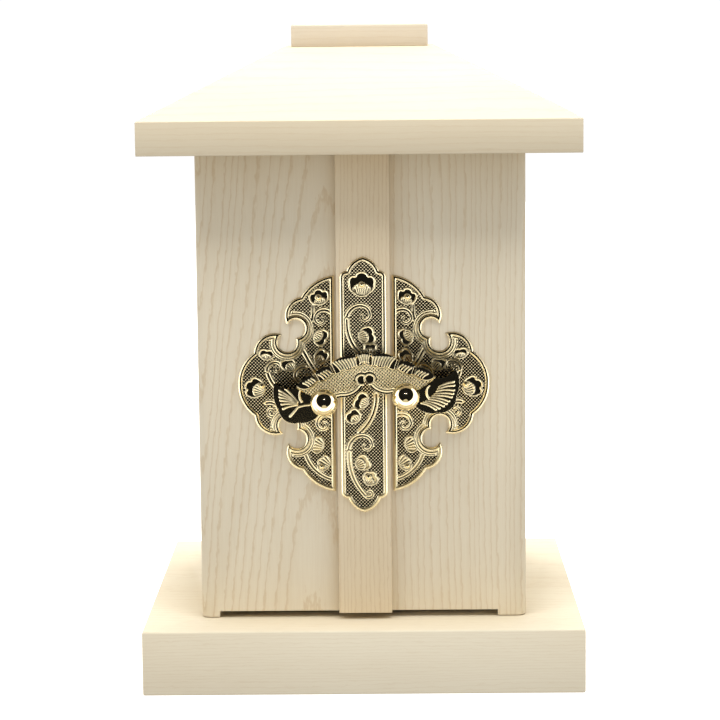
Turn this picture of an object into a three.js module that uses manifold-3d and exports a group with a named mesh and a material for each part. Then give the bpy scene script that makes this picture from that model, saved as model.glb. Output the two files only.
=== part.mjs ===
// Small wooden shrine cabinet: square plinth, boarded body with two pivot-hung doors, hipped roof block
// with a cap board, and a gilt lock of three chased plates, a butterfly clasp, two ball-headed pins and
// domed nails.
// Millimetres, +Z up, front towards -Y, origin at the middle of the plinth's underside.

import * as THREE from 'three';
import { mergeVertices } from 'three/addons/utils/BufferGeometryUtils.js';
import Module from 'manifold-3d';

// Plinth, body and roof
const PLINTH_SIDE = 180;
const PLINTH_HEIGHT = 26.5;
const BODY_WIDTH = 134.4;
const BODY_HEIGHT = 192.5;
const BODY_FRONT = -65.8;
const BODY_BACK = 67.2;
const WALL = 8;
const EAVE_SIDE = 177.3;
const FASCIA_HEIGHT = 13.6;
const HIP_HEIGHT = 28.1;
const ROOF_FLAT_SIDE = 63.4;
const CAP_SIDE = 56.9;
const CAP_HEIGHT = 9.3;
const ARRIS = 0.5;

// Doors: each leaf turns on round pivots in the plinth and the roof
const LEAF = 8;
const LEAF_TO_WALL = 0.5;
const LEAF_TO_LEAF = 0.5;
const HEAD_GAP = 0.5;
const FOOT_GAP = 0.3;
const NOTCH = 2.7;
const LEFT_FOOT = 7.5;
const RIGHT_FOOT = 11.7;
const PIVOT_RADIUS = 2.5;
const PIVOT_LENGTH = 6;
const SOCKET_GAP = 0.3;
const BATTEN_WIDTH = 21.8;
const BATTEN_THICKNESS = 4.5;
const BATTEN_LAP_GAP = 0.3;

// Lock: its outlines are drawn in lock coordinates, u to the right and w up from the lock's centre
const LOCK_X = 0.8;
const LOCK_Z = 124.3;
const SHEET = 0.9;
const RIM_HEIGHT = 0.5;
const RIM_WIDTH = 1.1;
const CHASING_HEIGHT = 0.35;
const ROOTING = 0.3;
const STEM_WIDTH = 1.5;
const CURL_WIDTH = 1.1;
const CURL_TIP = 0.5;
const LEAF_SWELL = 0.13;
const PLATE_STEP = 2.4;
const CLASP_STEP = 1.7;
const STEM_STEP = 3;
const CURL_STEP = 28;
const NAIL_RADIUS = 0.7;
const NAIL_HEIGHT = 0.45;
const CLASP_TILT = THREE.MathUtils.degToRad(3.8);
const CLASP_SHIFT = 1;
const CLASP_GAP = 0.3;
const CLASP_SHEET = 1.8;
const CREST_HEIGHT = 1.1;
const WING_INSET = 0.4;
const FLUTE_HEIGHT = 0.5;
const FLUTE_WIDTH = 0.7;
const FLUTE_ROOT_SHARE = 0.6;
const WING_FLUTES = 10;
const WING_FLUTE_ROOT = [24.2, -5.4];
const WING_FLUTE_HEEL = 2;
const WING_FLUTE_REACH = 10.6;
const WING_FLUTE_FALL = 0.09;
const WING_FAN_START = THREE.MathUtils.degToRad(27);
const WING_FAN_STEP = THREE.MathUtils.degToRad(11);
const CREST_FLUTES = 15;
const CREST_FLUTE_START = 0.8;
const CREST_FLUTE_PITCH = 1.7;
const CREST_FLUTE_TOP = 12.6;
const CREST_FLUTE_FOOT = 9.9;
const CREST_FLUTE_BEND = 0.015;
const CREST_FLUTE_LEAN = 0.022;
const BALL_RADIUS = 5.6;
const PIN_U = 16.6;
const PIN_SHIFT = -0.8;
const PIN_W = -4.6;
const PIN_RADIUS = 1.4;
const COLLAR_RADIUS = 2.6;
const COLLAR_RISE = 0.9;
const NECK_RADIUS = 2.1;

// Facets, and how far a joined piece runs into its neighbour
const WELD = 1e-4;
const OVERLAP = 1;
const PIVOT_SIDES = 16;
const HINGE_STEPS = 12;
const BALL_SIDES = 16;
const BALL_STEPS = 9;
const NAIL_SIDES = 8;
const NAIL_STEPS = 3;
const MITRE_LIMIT = 2.5;
const TRUE_INSET = 0.96;

// Levels and places that follow
const BODY_TOP = PLINTH_HEIGHT + BODY_HEIGHT;
const ROOF_TOP = BODY_TOP + FASCIA_HEIGHT + HIP_HEIGHT;
const LEAF_BACK = BODY_FRONT + LEAF;
const WALL_FRONT = LEAF_BACK + LEAF_TO_WALL;
const PIVOT_X = BODY_WIDTH / 2 - LEAF / 2;
const PIVOT_Y = BODY_FRONT + LEAF / 2;
const BATTEN_FRONT = BODY_FRONT - BATTEN_THICKNESS;
const CLASP_BACK = BATTEN_FRONT - SHEET - RIM_HEIGHT - CLASP_GAP;
const WING_BACK = BODY_FRONT - SHEET - RIM_HEIGHT - CLASP_GAP;

const hinoki = new THREE.MeshStandardMaterial({ color: 0xdccfb2, roughness: 0.62, metalness: 0 });
const gilt = new THREE.MeshStandardMaterial({ color: 0xe9c77a, roughness: 0.16, metalness: 1 });

const wasm = await Module();
wasm.setup();

// Solids: three.js geometry in and out of manifold-3d

function solidOf(geometry) {
  const bare = geometry.index ? geometry.toNonIndexed() : geometry.clone();
  bare.deleteAttribute('normal');
  bare.deleteAttribute('uv');
  const merged = mergeVertices(bare, WELD);
  const vertProperties = merged.attributes.position.array;
  const triVerts = new Uint32Array(merged.index.array);
  return new wasm.Manifold(new wasm.Mesh({ numProp: 3, vertProperties, triVerts }));
}

function geometryOf(solid) {
  const mesh = solid.getMesh();
  const geometry = new THREE.BufferGeometry();
  geometry.setAttribute('position', new THREE.BufferAttribute(mesh.vertProperties, 3));
  geometry.setIndex(new THREE.BufferAttribute(mesh.triVerts, 1));
  geometry.computeVertexNormals();
  return geometry;
}

function joined(geometries) {
  return geometries.map(solidOf).reduce((whole, next) => whole.add(next));
}

// Plain solids

function box(x0, x1, y0, y1, z0, z1) {
  const geometry = new THREE.BoxGeometry(x1 - x0, y1 - y0, z1 - z0);
  return geometry.translate((x0 + x1) / 2, (y0 + y1) / 2, (z0 + z1) / 2);
}

function squareTier(levels) {
  // A square solid with upright axis: each level is [side, z], bottom first.
  const profile = levels.map(([side, z]) => new THREE.Vector2(side * Math.SQRT1_2, z));
  profile.unshift(new THREE.Vector2(0, levels[0][1]));
  profile.push(new THREE.Vector2(0, levels[levels.length - 1][1]));
  const tier = new THREE.LatheGeometry(profile, 4, Math.PI / 4);
  return tier.rotateX(Math.PI / 2);
}

function post(x, y, z0, z1, radius) {
  const geometry = new THREE.CylinderGeometry(radius, radius, z1 - z0, PIVOT_SIDES);
  return geometry.rotateX(Math.PI / 2).translate(x, y, (z0 + z1) / 2);
}

function upright(points, z0, z1) {
  // A plan outline in x and y, carried up from z0 to z1.
  const plan = new THREE.Shape(points);
  return new THREE.ExtrudeGeometry(plan, { depth: z1 - z0, bevelEnabled: false }).translate(0, 0, z0);
}

function relief(points, back, height) {
  // A lock outline in u and w, raised from the plane y = back towards the front by height.
  const face = new THREE.Shape(points);
  const raised = new THREE.ExtrudeGeometry(face, { depth: height, bevelEnabled: false });
  return raised.rotateX(Math.PI / 2).translate(0, back, 0);
}

// Outlines

function arc(from, through, to, pitch) {
  // Points about a pitch apart on the circle through three points, from the first to just before the last.
  const [ax, ay] = from;
  const [bx, by] = through;
  const [cx, cy] = to;
  const twist = 2 * (ax * (by - cy) + bx * (cy - ay) + cx * (ay - by));
  const a2 = ax * ax + ay * ay;
  const b2 = bx * bx + by * by;
  const c2 = cx * cx + cy * cy;
  const ox = (a2 * (by - cy) + b2 * (cy - ay) + c2 * (ay - by)) / twist;
  const oy = (a2 * (cx - bx) + b2 * (ax - cx) + c2 * (bx - ax)) / twist;
  const radius = Math.hypot(ax - ox, ay - oy);
  const start = Math.atan2(ay - oy, ax - ox);
  const turn = 2 * Math.PI;
  const sweep = (Math.atan2(cy - oy, cx - ox) - start + 2 * turn) % turn;
  const middle = (Math.atan2(by - oy, bx - ox) - start + 2 * turn) % turn;
  const span = middle < sweep ? sweep : sweep - turn;
  const steps = Math.max(2, Math.round((radius * Math.abs(span)) / pitch));
  return Array.from({ length: steps }, (_, i) => {
    const angle = start + (span * i) / steps;
    return new THREE.Vector2(ox + radius * Math.cos(angle), oy + radius * Math.sin(angle));
  });
}

function arcs(corners, pitch) {
  // A run of arcs: corner, point on the way, corner, point on the way, ..., last corner.
  const run = [];
  for (let i = 0; i + 2 < corners.length; i += 2) {
    run.push(...arc(corners[i], corners[i + 1], corners[i + 2], pitch));
  }
  return run;
}

const mirroredU = (points) => points.map((p) => new THREE.Vector2(-p.x, p.y)).reverse();
const mirroredW = (points) => points.map((p) => new THREE.Vector2(p.x, -p.y)).reverse();

function distanceTo(point, outline) {
  const nearest = new THREE.Vector3();
  const at = new THREE.Vector3(point.x, point.y, 0);
  const edge = new THREE.Line3();
  const gaps = outline.map((p, i) => {
    const q = outline[(i + 1) % outline.length];
    edge.set(new THREE.Vector3(p.x, p.y, 0), new THREE.Vector3(q.x, q.y, 0));
    return edge.closestPointToPoint(at, true, nearest).distanceTo(at);
  });
  return Math.min(...gaps);
}

function inset(outline, distance) {
  // The outline moved inwards; points that would cross over at a sharp tip are left out.
  const inwards = THREE.ShapeUtils.area(outline) > 0 ? 1 : -1;
  const normal = (a, b) => new THREE.Vector2(a.y - b.y, b.x - a.x).normalize().multiplyScalar(inwards);
  const moved = outline.map((point, i) => {
    const before = normal(outline.at(i - 1), point);
    const after = normal(point, outline[(i + 1) % outline.length]);
    const mitre = before.clone().add(after).normalize();
    const reach = Math.min(distance / mitre.dot(after), MITRE_LIMIT * distance);
    return point.clone().addScaledVector(mitre, reach);
  });
  return moved.filter((point) => distanceTo(point, outline) > TRUE_INSET * distance);
}

function ribbon(path, startWidth, endWidth) {
  // A strip of tapering width along a path, with square ends.
  const left = [];
  const right = [];
  path.forEach((point, i) => {
    const before = path[Math.max(i - 1, 0)];
    const after = path[Math.min(i + 1, path.length - 1)];
    const along = after.clone().sub(before).normalize();
    const half = THREE.MathUtils.lerp(startWidth, endWidth, i / (path.length - 1)) / 2;
    left.push(new THREE.Vector2(point.x - along.y * half, point.y + along.x * half));
    right.unshift(new THREE.Vector2(point.x + along.y * half, point.y - along.x * half));
  });
  return [...left, ...right];
}

function curl(centre, startAngle, sweep, startRadius, endRadius) {
  // A spiral path whose radius shrinks by an even ratio.
  const steps = Math.ceil(Math.abs(sweep) / CURL_STEP);
  return Array.from({ length: steps + 1 }, (_, i) => {
    const angle = THREE.MathUtils.degToRad(startAngle + (sweep * i) / steps);
    const radius = startRadius * (endRadius / startRadius) ** (i / steps);
    return new THREE.Vector2(centre[0] + radius * Math.cos(angle), centre[1] + radius * Math.sin(angle));
  });
}

function sweptStem(corners) {
  const end = corners[corners.length - 1];
  return [...arcs(corners, STEM_STEP), new THREE.Vector2(end[0], end[1])];
}

function lobed(centre, tilt, length, width, lobes) {
  // A leaf or blossom: an oval whose upper half swells into lobes.
  const angle = THREE.MathUtils.degToRad(tilt);
  const count = lobes * 4 + 6;
  return Array.from({ length: count }, (_, i) => {
    const t = (2 * Math.PI * i) / count;
    const swell = 1 + LEAF_SWELL * Math.max(0, Math.sin(t)) * Math.abs(Math.sin(lobes * t));
    const along = (length / 2) * swell * Math.cos(t);
    const across = (width / 2) * swell * Math.sin(t);
    return new THREE.Vector2(
      centre[0] + along * Math.cos(angle) - across * Math.sin(angle),
      centre[1] + along * Math.sin(angle) + across * Math.cos(angle),
    );
  });
}

// Lock outlines, in lock coordinates

function sidePlateOutline() {
  // Right-hand plate: lobes, a pair of round cut-outs above and below, and a low point at the outer end.
  const upper = arcs([
    [11.9, 44.6], [19, 42.2], [25.3, 35.8], [31.3, 31.2], [31, 24.6], [24.2, 24.85], [27.6, 19],
    [32.3, 13.5], [33.2, 20.5], [41, 19.6], [44.8, 13.1], [49.4, 7.9], [51.3, 0],
  ], PLATE_STEP);
  const lower = mirroredW(upper);
  lower.unshift(new THREE.Vector2(51.3, 0));
  return [...upper, ...lower];
}

function centrePlateOutline() {
  // Tall plate with a small shoulder and a pointed arch at each end.
  const right = arcs([[9.35, 44.4], [8.5, 46.1], [6.6, 46.8], [4.2, 50.4], [0, 52.5]], PLATE_STEP / 2);
  const top = [...right, new THREE.Vector2(0, 52.5), ...mirroredU(right)];
  return [...top, ...mirroredW(top)];
}

const CREST_TOP = [
  [0, 14.3], [2.1, 13.5], [4.4, 12.9], [9.8, 12.5], [13.9, 9.2], [17.8, 8.8], [20.7, 6.3],
  [25.2, 5], [28.1, 1.6],
];
const WING_EDGE = [
  [28.1, 1.6], [32.8, 1.4], [36.8, 4.3], [37.9, -1.8], [36.3, -6.8], [34.2, -11.5], [28.4, -13],
  [23.9, -12.8], [19, -9.2],
];
const BAND_FOOT = [[19, -9.2], [14.6, -5.2], [10.4, -3.9], [5, -3.1], [0.2, 2.2]];
const CREST_FOOT = [
  [28.1, 1.6], [24.6, 0.4], [20.2, 3.1], [17, 3.5], [13.4, 6], [11.1, 5.9], [8.8, 7.4], [6.6, 6.9],
  [4.4, 8.2], [2.2, 8], [0, 9.6],
];

function claspOutline() {
  // Butterfly: crest and side leaves above, pointed wings, and a band that rises to a cusp below.
  const right = [CREST_TOP, WING_EDGE, BAND_FOOT].flatMap((corners) => arcs(corners, CLASP_STEP));
  right.push(new THREE.Vector2(0.2, 2.2));
  return [...right, ...mirroredU(right).slice(0, -1)];
}

function crestOutline() {
  // The crest and its two side leaves, scalloped along their lower edge.
  const top = arcs(CREST_TOP, CLASP_STEP);
  const foot = arcs(CREST_FOOT, CLASP_STEP);
  const left = mirroredU([...top, ...foot, new THREE.Vector2(0, 9.6)]);
  return [...top, ...foot, ...left.slice(0, -1)];
}

function wingOutline() {
  const inner = [[19, -9.2], [20, -3.5], [24.5, -1]].map(([u, w]) => new THREE.Vector2(u, w));
  return [...arcs(WING_EDGE, CLASP_STEP), ...inner];
}

// Chasing on the plates: vine stems, spiral curls, leaves and blossoms, for the right-hand plate

const sideVines = () => [
  ribbon(sweptStem([[19.2, 4.5], [22.6, 10.4], [25.7, 16.2]]), STEM_WIDTH, STEM_WIDTH),
  ribbon(sweptStem([[25.7, 16.2], [22.2, 22.6], [20.4, 32.4]]), STEM_WIDTH, CURL_WIDTH),
  ribbon(curl([17, 26.6], 165, -400, 5.4, 0.9), STEM_WIDTH, CURL_TIP),
  ribbon(sweptStem([[31.6, -4.7], [36.6, -0.2], [39.2, 5]]), STEM_WIDTH, STEM_WIDTH),
  ribbon(curl([35.6, 6.6], -10, 400, 3.9, 0.8), STEM_WIDTH, CURL_TIP),
  ribbon(curl([37.9, -11.2], 60, 470, 4.2, 0.8), STEM_WIDTH, CURL_TIP),
  ribbon(curl([16.4, -16.8], 150, -420, 5.2, 0.9), STEM_WIDTH, CURL_TIP),
  ribbon(sweptStem([[24.6, -25], [20.6, -35], [13.7, -39.4]]), STEM_WIDTH, CURL_WIDTH),
];

const sideLeaves = () => [
  lobed([17.4, 36.2], -20, 7.6, 4.6, 3),
  lobed([17.4, 19.4], -65, 8.4, 5.4, 2),
  lobed([17.3, 11.2], -50, 7.6, 6.2, 2),
  lobed([39.6, 12.4], 8, 7.2, 4, 2),
  lobed([30.6, 8.2], 40, 6.6, 5, 2),
  lobed([44.9, -1.4], -65, 8.6, 6.2, 3),
  lobed([18.8, -25.4], -70, 8, 5.4, 2),
  lobed([16.4, -33], -60, 8, 5.6, 3),
];

const sideNails = [['top', 18.1, 35.6], ['side', 41.8, -0.6], ['low', 17.6, -34.3]];

const centreVines = () => [
  ribbon(curl([0.2, 28.4], 190, -400, 7.2, 0.8), STEM_WIDTH, CURL_TIP),
  ribbon(sweptStem([[-6.6, 27], [-5.9, 21], [-1.6, 13.6]]), STEM_WIDTH, STEM_WIDTH),
  ribbon(sweptStem([[5, -3.6], [3.6, -12], [-1.8, -19.4]]), STEM_WIDTH, STEM_WIDTH),
  ribbon(curl([0.6, -25], 190, -400, 7.2, 0.8), STEM_WIDTH, CURL_TIP),
  ribbon(sweptStem([[-6.2, -27.6], [-4.4, -38], [1, -46.2]]), STEM_WIDTH, CURL_WIDTH),
  ribbon(curl([2, -44.6], -120, 330, 1.8, 0.6), CURL_WIDTH, CURL_TIP),
];

const centreLeaves = () => [
  lobed([-0.6, 41.9], 0, 11.4, 7.2, 3),
  lobed([1.4, 20.4], -70, 8.6, 6.4, 2),
  lobed([-0.9, -6.6], 60, 8.8, 5, 2),
  lobed([-4.2, -12.8], 50, 7, 5.6, 2),
  lobed([-0.6, -32], -60, 7.4, 5.4, 2),
  lobed([2.4, -38.6], -40, 7.2, 5.6, 3),
];

const centreNails = [['top', -0.4, 41.2], ['low', 1.6, -38]];

// Lock solids

function chasedPlate(outline, vines, leaves, back) {
  const ground = back - SHEET;
  const sheet = solidOf(relief(outline, back, SHEET + RIM_HEIGHT));
  const field = relief(inset(outline, RIM_WIDTH), ground, RIM_HEIGHT + OVERLAP);
  const chased = [...vines, ...leaves].map((shape) => {
    return relief(shape, ground + ROOTING, ROOTING + CHASING_HEIGHT);
  });
  return sheet.subtract(solidOf(field)).add(joined(chased).intersect(sheet));
}

function flute(from, to, back, height) {
  // A raised bar between two points, narrow at the root and full at the outer end.
  const path = [new THREE.Vector2(...from), new THREE.Vector2(...to)];
  return relief(ribbon(path, FLUTE_WIDTH * FLUTE_ROOT_SHARE, FLUTE_WIDTH), back, height);
}

function wingFlutes(side, face) {
  // Bars that fan out from the wing's root, the middle ones the longest.
  const [rootU, rootW] = WING_FLUTE_ROOT;
  return Array.from({ length: WING_FLUTES }, (_, i) => {
    const angle = WING_FAN_START - WING_FAN_STEP * i;
    const reach = WING_FLUTE_REACH - WING_FLUTE_FALL * (i - WING_FLUTES / 3) ** 2;
    const [heel, tip] = [WING_FLUTE_HEEL, reach].map((along) => {
      return [side * (rootU + along * Math.cos(angle)), rootW + along * Math.sin(angle)];
    });
    return flute(heel, tip, face, FLUTE_HEIGHT);
  });
}

function crestFlutes(side, face) {
  // Bars on the crest and its two side leaves, which lean outwards more and more from the middle.
  return Array.from({ length: CREST_FLUTES }, (_, i) => {
    const u = CREST_FLUTE_START + CREST_FLUTE_PITCH * i;
    const fall = CREST_FLUTE_BEND * u * u;
    const lean = CREST_FLUTE_LEAN * u;
    const foot = [side * (u - lean), CREST_FLUTE_FOOT - fall];
    const top = [side * (u + lean), CREST_FLUTE_TOP - fall];
    return flute(foot, top, face, FLUTE_HEIGHT);
  });
}

function claspSolid() {
  const face = CLASP_BACK - CLASP_SHEET;
  const body = solidOf(relief(claspOutline(), CLASP_BACK, CLASP_SHEET));
  const wings = [1, -1].map((side) => {
    const wing = inset(wingOutline(), WING_INSET);
    return relief(side > 0 ? wing : mirroredU(wing), WING_BACK, WING_BACK - CLASP_BACK + ROOTING);
  });
  const parts = [
    ...wings,
    relief(crestOutline(), face + ROOTING, ROOTING + CREST_HEIGHT),
    ...[1, -1].flatMap((side) => wingFlutes(side, face + ROOTING)),
    ...[1, -1].flatMap((side) => crestFlutes(side, face - CREST_HEIGHT + ROOTING)),
  ];
  const holes = [1, -1].map((side) => pinHole(side));
  return body.add(joined(parts)).subtract(joined(holes));
}

function pinHole(side) {
  const reach = CLASP_SHEET + OVERLAP;
  const hole = post(0, 0, -reach, reach, PIN_RADIUS + CLASP_GAP).rotateX(Math.PI / 2);
  return hole.translate(PIN_SHIFT + side * PIN_U, CLASP_BACK, PIN_W);
}

function ballPin(shank) {
  // Ball on a collar, with a straight shank; the collar's underside is at height 0 and the ball points up.
  const centre = COLLAR_RISE + Math.sqrt(BALL_RADIUS ** 2 - NECK_RADIUS ** 2);
  const start = -Math.acos(NECK_RADIUS / BALL_RADIUS);
  const ball = Array.from({ length: BALL_STEPS }, (_, i) => {
    const angle = THREE.MathUtils.lerp(start, Math.PI / 2, i / BALL_STEPS);
    return new THREE.Vector2(BALL_RADIUS * Math.cos(angle), centre + BALL_RADIUS * Math.sin(angle));
  });
  const profile = [
    new THREE.Vector2(0, -shank),
    new THREE.Vector2(PIN_RADIUS, -shank),
    new THREE.Vector2(PIN_RADIUS, 0),
    new THREE.Vector2(COLLAR_RADIUS, 0),
    ...ball,
    new THREE.Vector2(0, centre + BALL_RADIUS),
  ];
  return new THREE.LatheGeometry(profile, BALL_SIDES).rotateX(Math.PI);
}

function nailHead() {
  const dome = Array.from({ length: NAIL_STEPS }, (_, i) => {
    const angle = ((Math.PI / 2) * i) / NAIL_STEPS;
    return new THREE.Vector2(NAIL_RADIUS * Math.cos(angle), NAIL_HEIGHT * Math.sin(angle));
  });
  const profile = [new THREE.Vector2(0, 0), ...dome, new THREE.Vector2(0, NAIL_HEIGHT)];
  return new THREE.LatheGeometry(profile, NAIL_SIDES).rotateX(Math.PI);
}

// Woodwork

function sockets(z0, z1) {
  // The holes that the leaves' pivots turn in, one beside each wall.
  return joined([-1, 1].map((side) => post(side * PIVOT_X, PIVOT_Y, z0, z1, PIVOT_RADIUS + SOCKET_GAP)));
}

function plinthSolid() {
  const board = squareTier([
    [PLINTH_SIDE - 2 * ARRIS, 0],
    [PLINTH_SIDE, ARRIS],
    [PLINTH_SIDE, PLINTH_HEIGHT - ARRIS],
    [PLINTH_SIDE - 2 * ARRIS, PLINTH_HEIGHT],
  ]);
  const floor = PLINTH_HEIGHT - PIVOT_LENGTH - FOOT_GAP;
  return solidOf(board).subtract(sockets(floor, PLINTH_HEIGHT + OVERLAP));
}

function roofSolid() {
  const block = squareTier([
    [EAVE_SIDE, BODY_TOP],
    [EAVE_SIDE, BODY_TOP + FASCIA_HEIGHT],
    [ROOF_FLAT_SIDE, ROOF_TOP],
  ]);
  const ceiling = BODY_TOP + PIVOT_LENGTH + HEAD_GAP;
  return solidOf(block).subtract(sockets(BODY_TOP - OVERLAP, ceiling));
}

function leafPlan(side, innerX) {
  // Square meeting edge at innerX, half-round hinge edge centred on the pivots.
  const hinge = Array.from({ length: HINGE_STEPS + 1 }, (_, i) => {
    const angle = -Math.PI / 2 + (Math.PI * i) / HINGE_STEPS;
    const x = side * (PIVOT_X + (LEAF / 2) * Math.cos(angle));
    return new THREE.Vector2(x, PIVOT_Y + (LEAF / 2) * Math.sin(angle));
  });
  return [
    new THREE.Vector2(side * innerX, BODY_FRONT),
    ...hinge,
    new THREE.Vector2(side * innerX, LEAF_BACK),
  ];
}

function doorSolid(side, foot) {
  const bottom = PLINTH_HEIGHT + NOTCH;
  const top = BODY_TOP - HEAD_GAP;
  const footBottom = PLINTH_HEIGHT + FOOT_GAP;
  return joined([
    upright(leafPlan(side, LEAF_TO_LEAF / 2), bottom, top),
    upright(leafPlan(side, BODY_WIDTH / 2 - foot), footBottom, bottom + OVERLAP),
    post(side * PIVOT_X, PIVOT_Y, footBottom - PIVOT_LENGTH, footBottom + OVERLAP, PIVOT_RADIUS),
    post(side * PIVOT_X, PIVOT_Y, top - OVERLAP, top + PIVOT_LENGTH, PIVOT_RADIUS),
  ]);
}

function battenGeometry() {
  // Fixed to the right leaf; the half that laps the left leaf is relieved to clear it.
  const left = LOCK_X - BATTEN_WIDTH / 2;
  const right = LOCK_X + BATTEN_WIDTH / 2;
  const step = LEAF_TO_LEAF / 2;
  const plan = [
    [left, BATTEN_FRONT],
    [right, BATTEN_FRONT],
    [right, BODY_FRONT],
    [step, BODY_FRONT],
    [step, BODY_FRONT - BATTEN_LAP_GAP],
    [left, BODY_FRONT - BATTEN_LAP_GAP],
  ].map(([x, y]) => new THREE.Vector2(x, y));
  return upright(plan, PLINTH_HEIGHT + NOTCH, BODY_TOP - HEAD_GAP);
}

// Assembly

const shrine = new THREE.Group();
shrine.name = 'portable_shrine';

function place(parent, name, geometry, material) {
  const mesh = new THREE.Mesh(geometry, material.clone());
  mesh.name = name;
  parent.add(mesh);
  return mesh;
}

const half = BODY_WIDTH / 2;
const sideWall = (x) => box(x, x + WALL, WALL_FRONT, BODY_BACK, PLINTH_HEIGHT, BODY_TOP);
place(shrine, 'plinth', geometryOf(plinthSolid()), hinoki);
place(shrine, 'wall_left', sideWall(-half), hinoki);
place(shrine, 'wall_right', sideWall(half - WALL), hinoki);
place(shrine, 'wall_back',
  box(WALL - half, half - WALL, BODY_BACK - WALL, BODY_BACK, PLINTH_HEIGHT, BODY_TOP), hinoki);
place(shrine, 'roof', geometryOf(roofSolid()), hinoki);
place(shrine, 'roof_cap', squareTier([
  [CAP_SIDE, ROOF_TOP],
  [CAP_SIDE, ROOF_TOP + CAP_HEIGHT - ARRIS],
  [CAP_SIDE - 2 * ARRIS, ROOF_TOP + CAP_HEIGHT],
]), hinoki);
place(shrine, 'door_left', geometryOf(doorSolid(-1, LEFT_FOOT)), hinoki);
place(shrine, 'door_right', geometryOf(doorSolid(1, RIGHT_FOOT)), hinoki);
place(shrine, 'door_batten', battenGeometry(), hinoki);

const lock = new THREE.Group();
lock.position.set(LOCK_X, 0, LOCK_Z);
shrine.add(lock);

for (const [name, mirror] of [['right', (points) => points], ['left', mirroredU]]) {
  const vines = sideVines().map(mirror);
  const leaves = sideLeaves().map(mirror);
  const plate = chasedPlate(mirror(sidePlateOutline()), vines, leaves, BODY_FRONT);
  place(lock, `plate_${name}`, geometryOf(plate), gilt);
}
place(lock, 'plate_centre',
  geometryOf(chasedPlate(centrePlateOutline(), centreVines(), centreLeaves(), BATTEN_FRONT)), gilt);

function nail(name, u, w, back) {
  place(lock, name, nailHead(), gilt).position.set(u, back - SHEET - CHASING_HEIGHT, w);
}
for (const [spot, u, w] of sideNails) {
  nail(`nail_left_${spot}`, -u, w, BODY_FRONT);
  nail(`nail_right_${spot}`, u, w, BODY_FRONT);
}
for (const [spot, u, w] of centreNails) {
  nail(`nail_centre_${spot}`, u, w, BATTEN_FRONT);
}

const claspGroup = new THREE.Group();
claspGroup.position.x = CLASP_SHIFT;
claspGroup.rotation.y = -CLASP_TILT;
lock.add(claspGroup);
place(claspGroup, 'clasp', geometryOf(claspSolid()), gilt);
for (const [name, side] of [['left', -1], ['right', 1]]) {
  const pin = place(claspGroup, `pin_${name}`, ballPin(CLASP_SHEET), gilt);
  pin.position.set(PIN_SHIFT + side * PIN_U, CLASP_BACK - CLASP_SHEET - CLASP_GAP, PIN_W);
}

export default shrine;
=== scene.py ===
"""Small hinoki shrine cabinet with pivot-hung doors and a gilt butterfly lock.

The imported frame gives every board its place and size. This script softens the boards' arrises, gives each
board a grain of its own, builds the lock's chased sheets, clasp, ball pins and nails as fine meshes, and
stands the cabinet in a plain pale studio. Lock outlines are in millimetres in lock coordinates: u runs to
the right, w runs up, and both start from the lock's centre.
"""

import logging
import math
from dataclasses import dataclass, field, replace
from enum import Enum
from typing import Callable, Sequence

import bmesh
import bpy
import numpy as np
from mathutils import Matrix, Vector


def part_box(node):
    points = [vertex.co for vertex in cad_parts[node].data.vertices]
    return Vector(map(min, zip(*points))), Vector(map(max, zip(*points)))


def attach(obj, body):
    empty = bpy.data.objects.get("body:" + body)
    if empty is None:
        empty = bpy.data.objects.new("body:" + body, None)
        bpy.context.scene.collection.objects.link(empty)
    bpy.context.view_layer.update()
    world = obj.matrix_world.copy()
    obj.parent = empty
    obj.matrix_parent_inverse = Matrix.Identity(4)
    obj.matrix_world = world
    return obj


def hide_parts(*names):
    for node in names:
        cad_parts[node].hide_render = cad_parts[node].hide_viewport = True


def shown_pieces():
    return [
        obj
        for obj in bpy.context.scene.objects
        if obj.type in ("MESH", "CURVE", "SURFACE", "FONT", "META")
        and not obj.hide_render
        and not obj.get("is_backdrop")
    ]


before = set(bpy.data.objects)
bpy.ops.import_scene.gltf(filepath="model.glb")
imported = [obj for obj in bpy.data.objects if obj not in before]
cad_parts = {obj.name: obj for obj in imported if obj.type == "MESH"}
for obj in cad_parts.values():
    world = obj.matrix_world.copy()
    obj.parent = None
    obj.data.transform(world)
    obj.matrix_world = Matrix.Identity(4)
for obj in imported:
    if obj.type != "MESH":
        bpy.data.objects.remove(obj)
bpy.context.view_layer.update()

log = logging.getLogger("shrine")

MM = 0.001
# The lock's centre on the doors, the thickness of its sheets, and how the clasp hangs. Lengths are in
# millimetres, like all the lock's sizes below.
LOCK_X = 0.8
LOCK_Z = 124.3
SHEET = 0.9
CLASP_SHEET = 1.8
CLASP_GAP = 0.3
CLASP_SHIFT = 1.0
CLASP_TILT = math.radians(3.8)
# How far apart the points of arcs are, in millimetres, and those of curls, in degrees.
ARC_PITCH = 0.5
CURL_PITCH = 9.0
# How much of a raised line's half-width its eased top takes up.
EASING = 0.12
# The height from which a raised spot counts as struck.
STRUCK_FROM = 0.08

Points = np.ndarray


class Body(Enum):
    """The bodies that pieces ride on."""

    CABINET = "root"
    RIGHT_DOOR = "right_door"
    LEFT_DOOR = "left_door"


class Slot(Enum):
    """The record's material slots."""

    HINOKI = "hinoki"
    GILT = "gilt"


class Side(Enum):
    """The side of the lock that a plate lies on, as the sign of its u coordinate."""

    LEFT = -1
    RIGHT = 1


class Surface(Enum):
    """How a spot of a sheet is finished, as a value that sets its roughness and, in the pits, a painted
    shade.
    """

    SATIN = -1.0
    MIRROR = 0.0
    STRUCK = 0.5
    # A pit is rough, and its gilt is also painted near-black as shade.
    PIT = 1.0


class Grain(Enum):
    """The direction of a board's fibres, as the turn that brings it to the ring pattern's axis."""

    ACROSS = (0.0, math.pi / 2, 0.0)
    UPRIGHT = (0.0, 0.0, 0.0)


# Shared helpers


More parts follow.
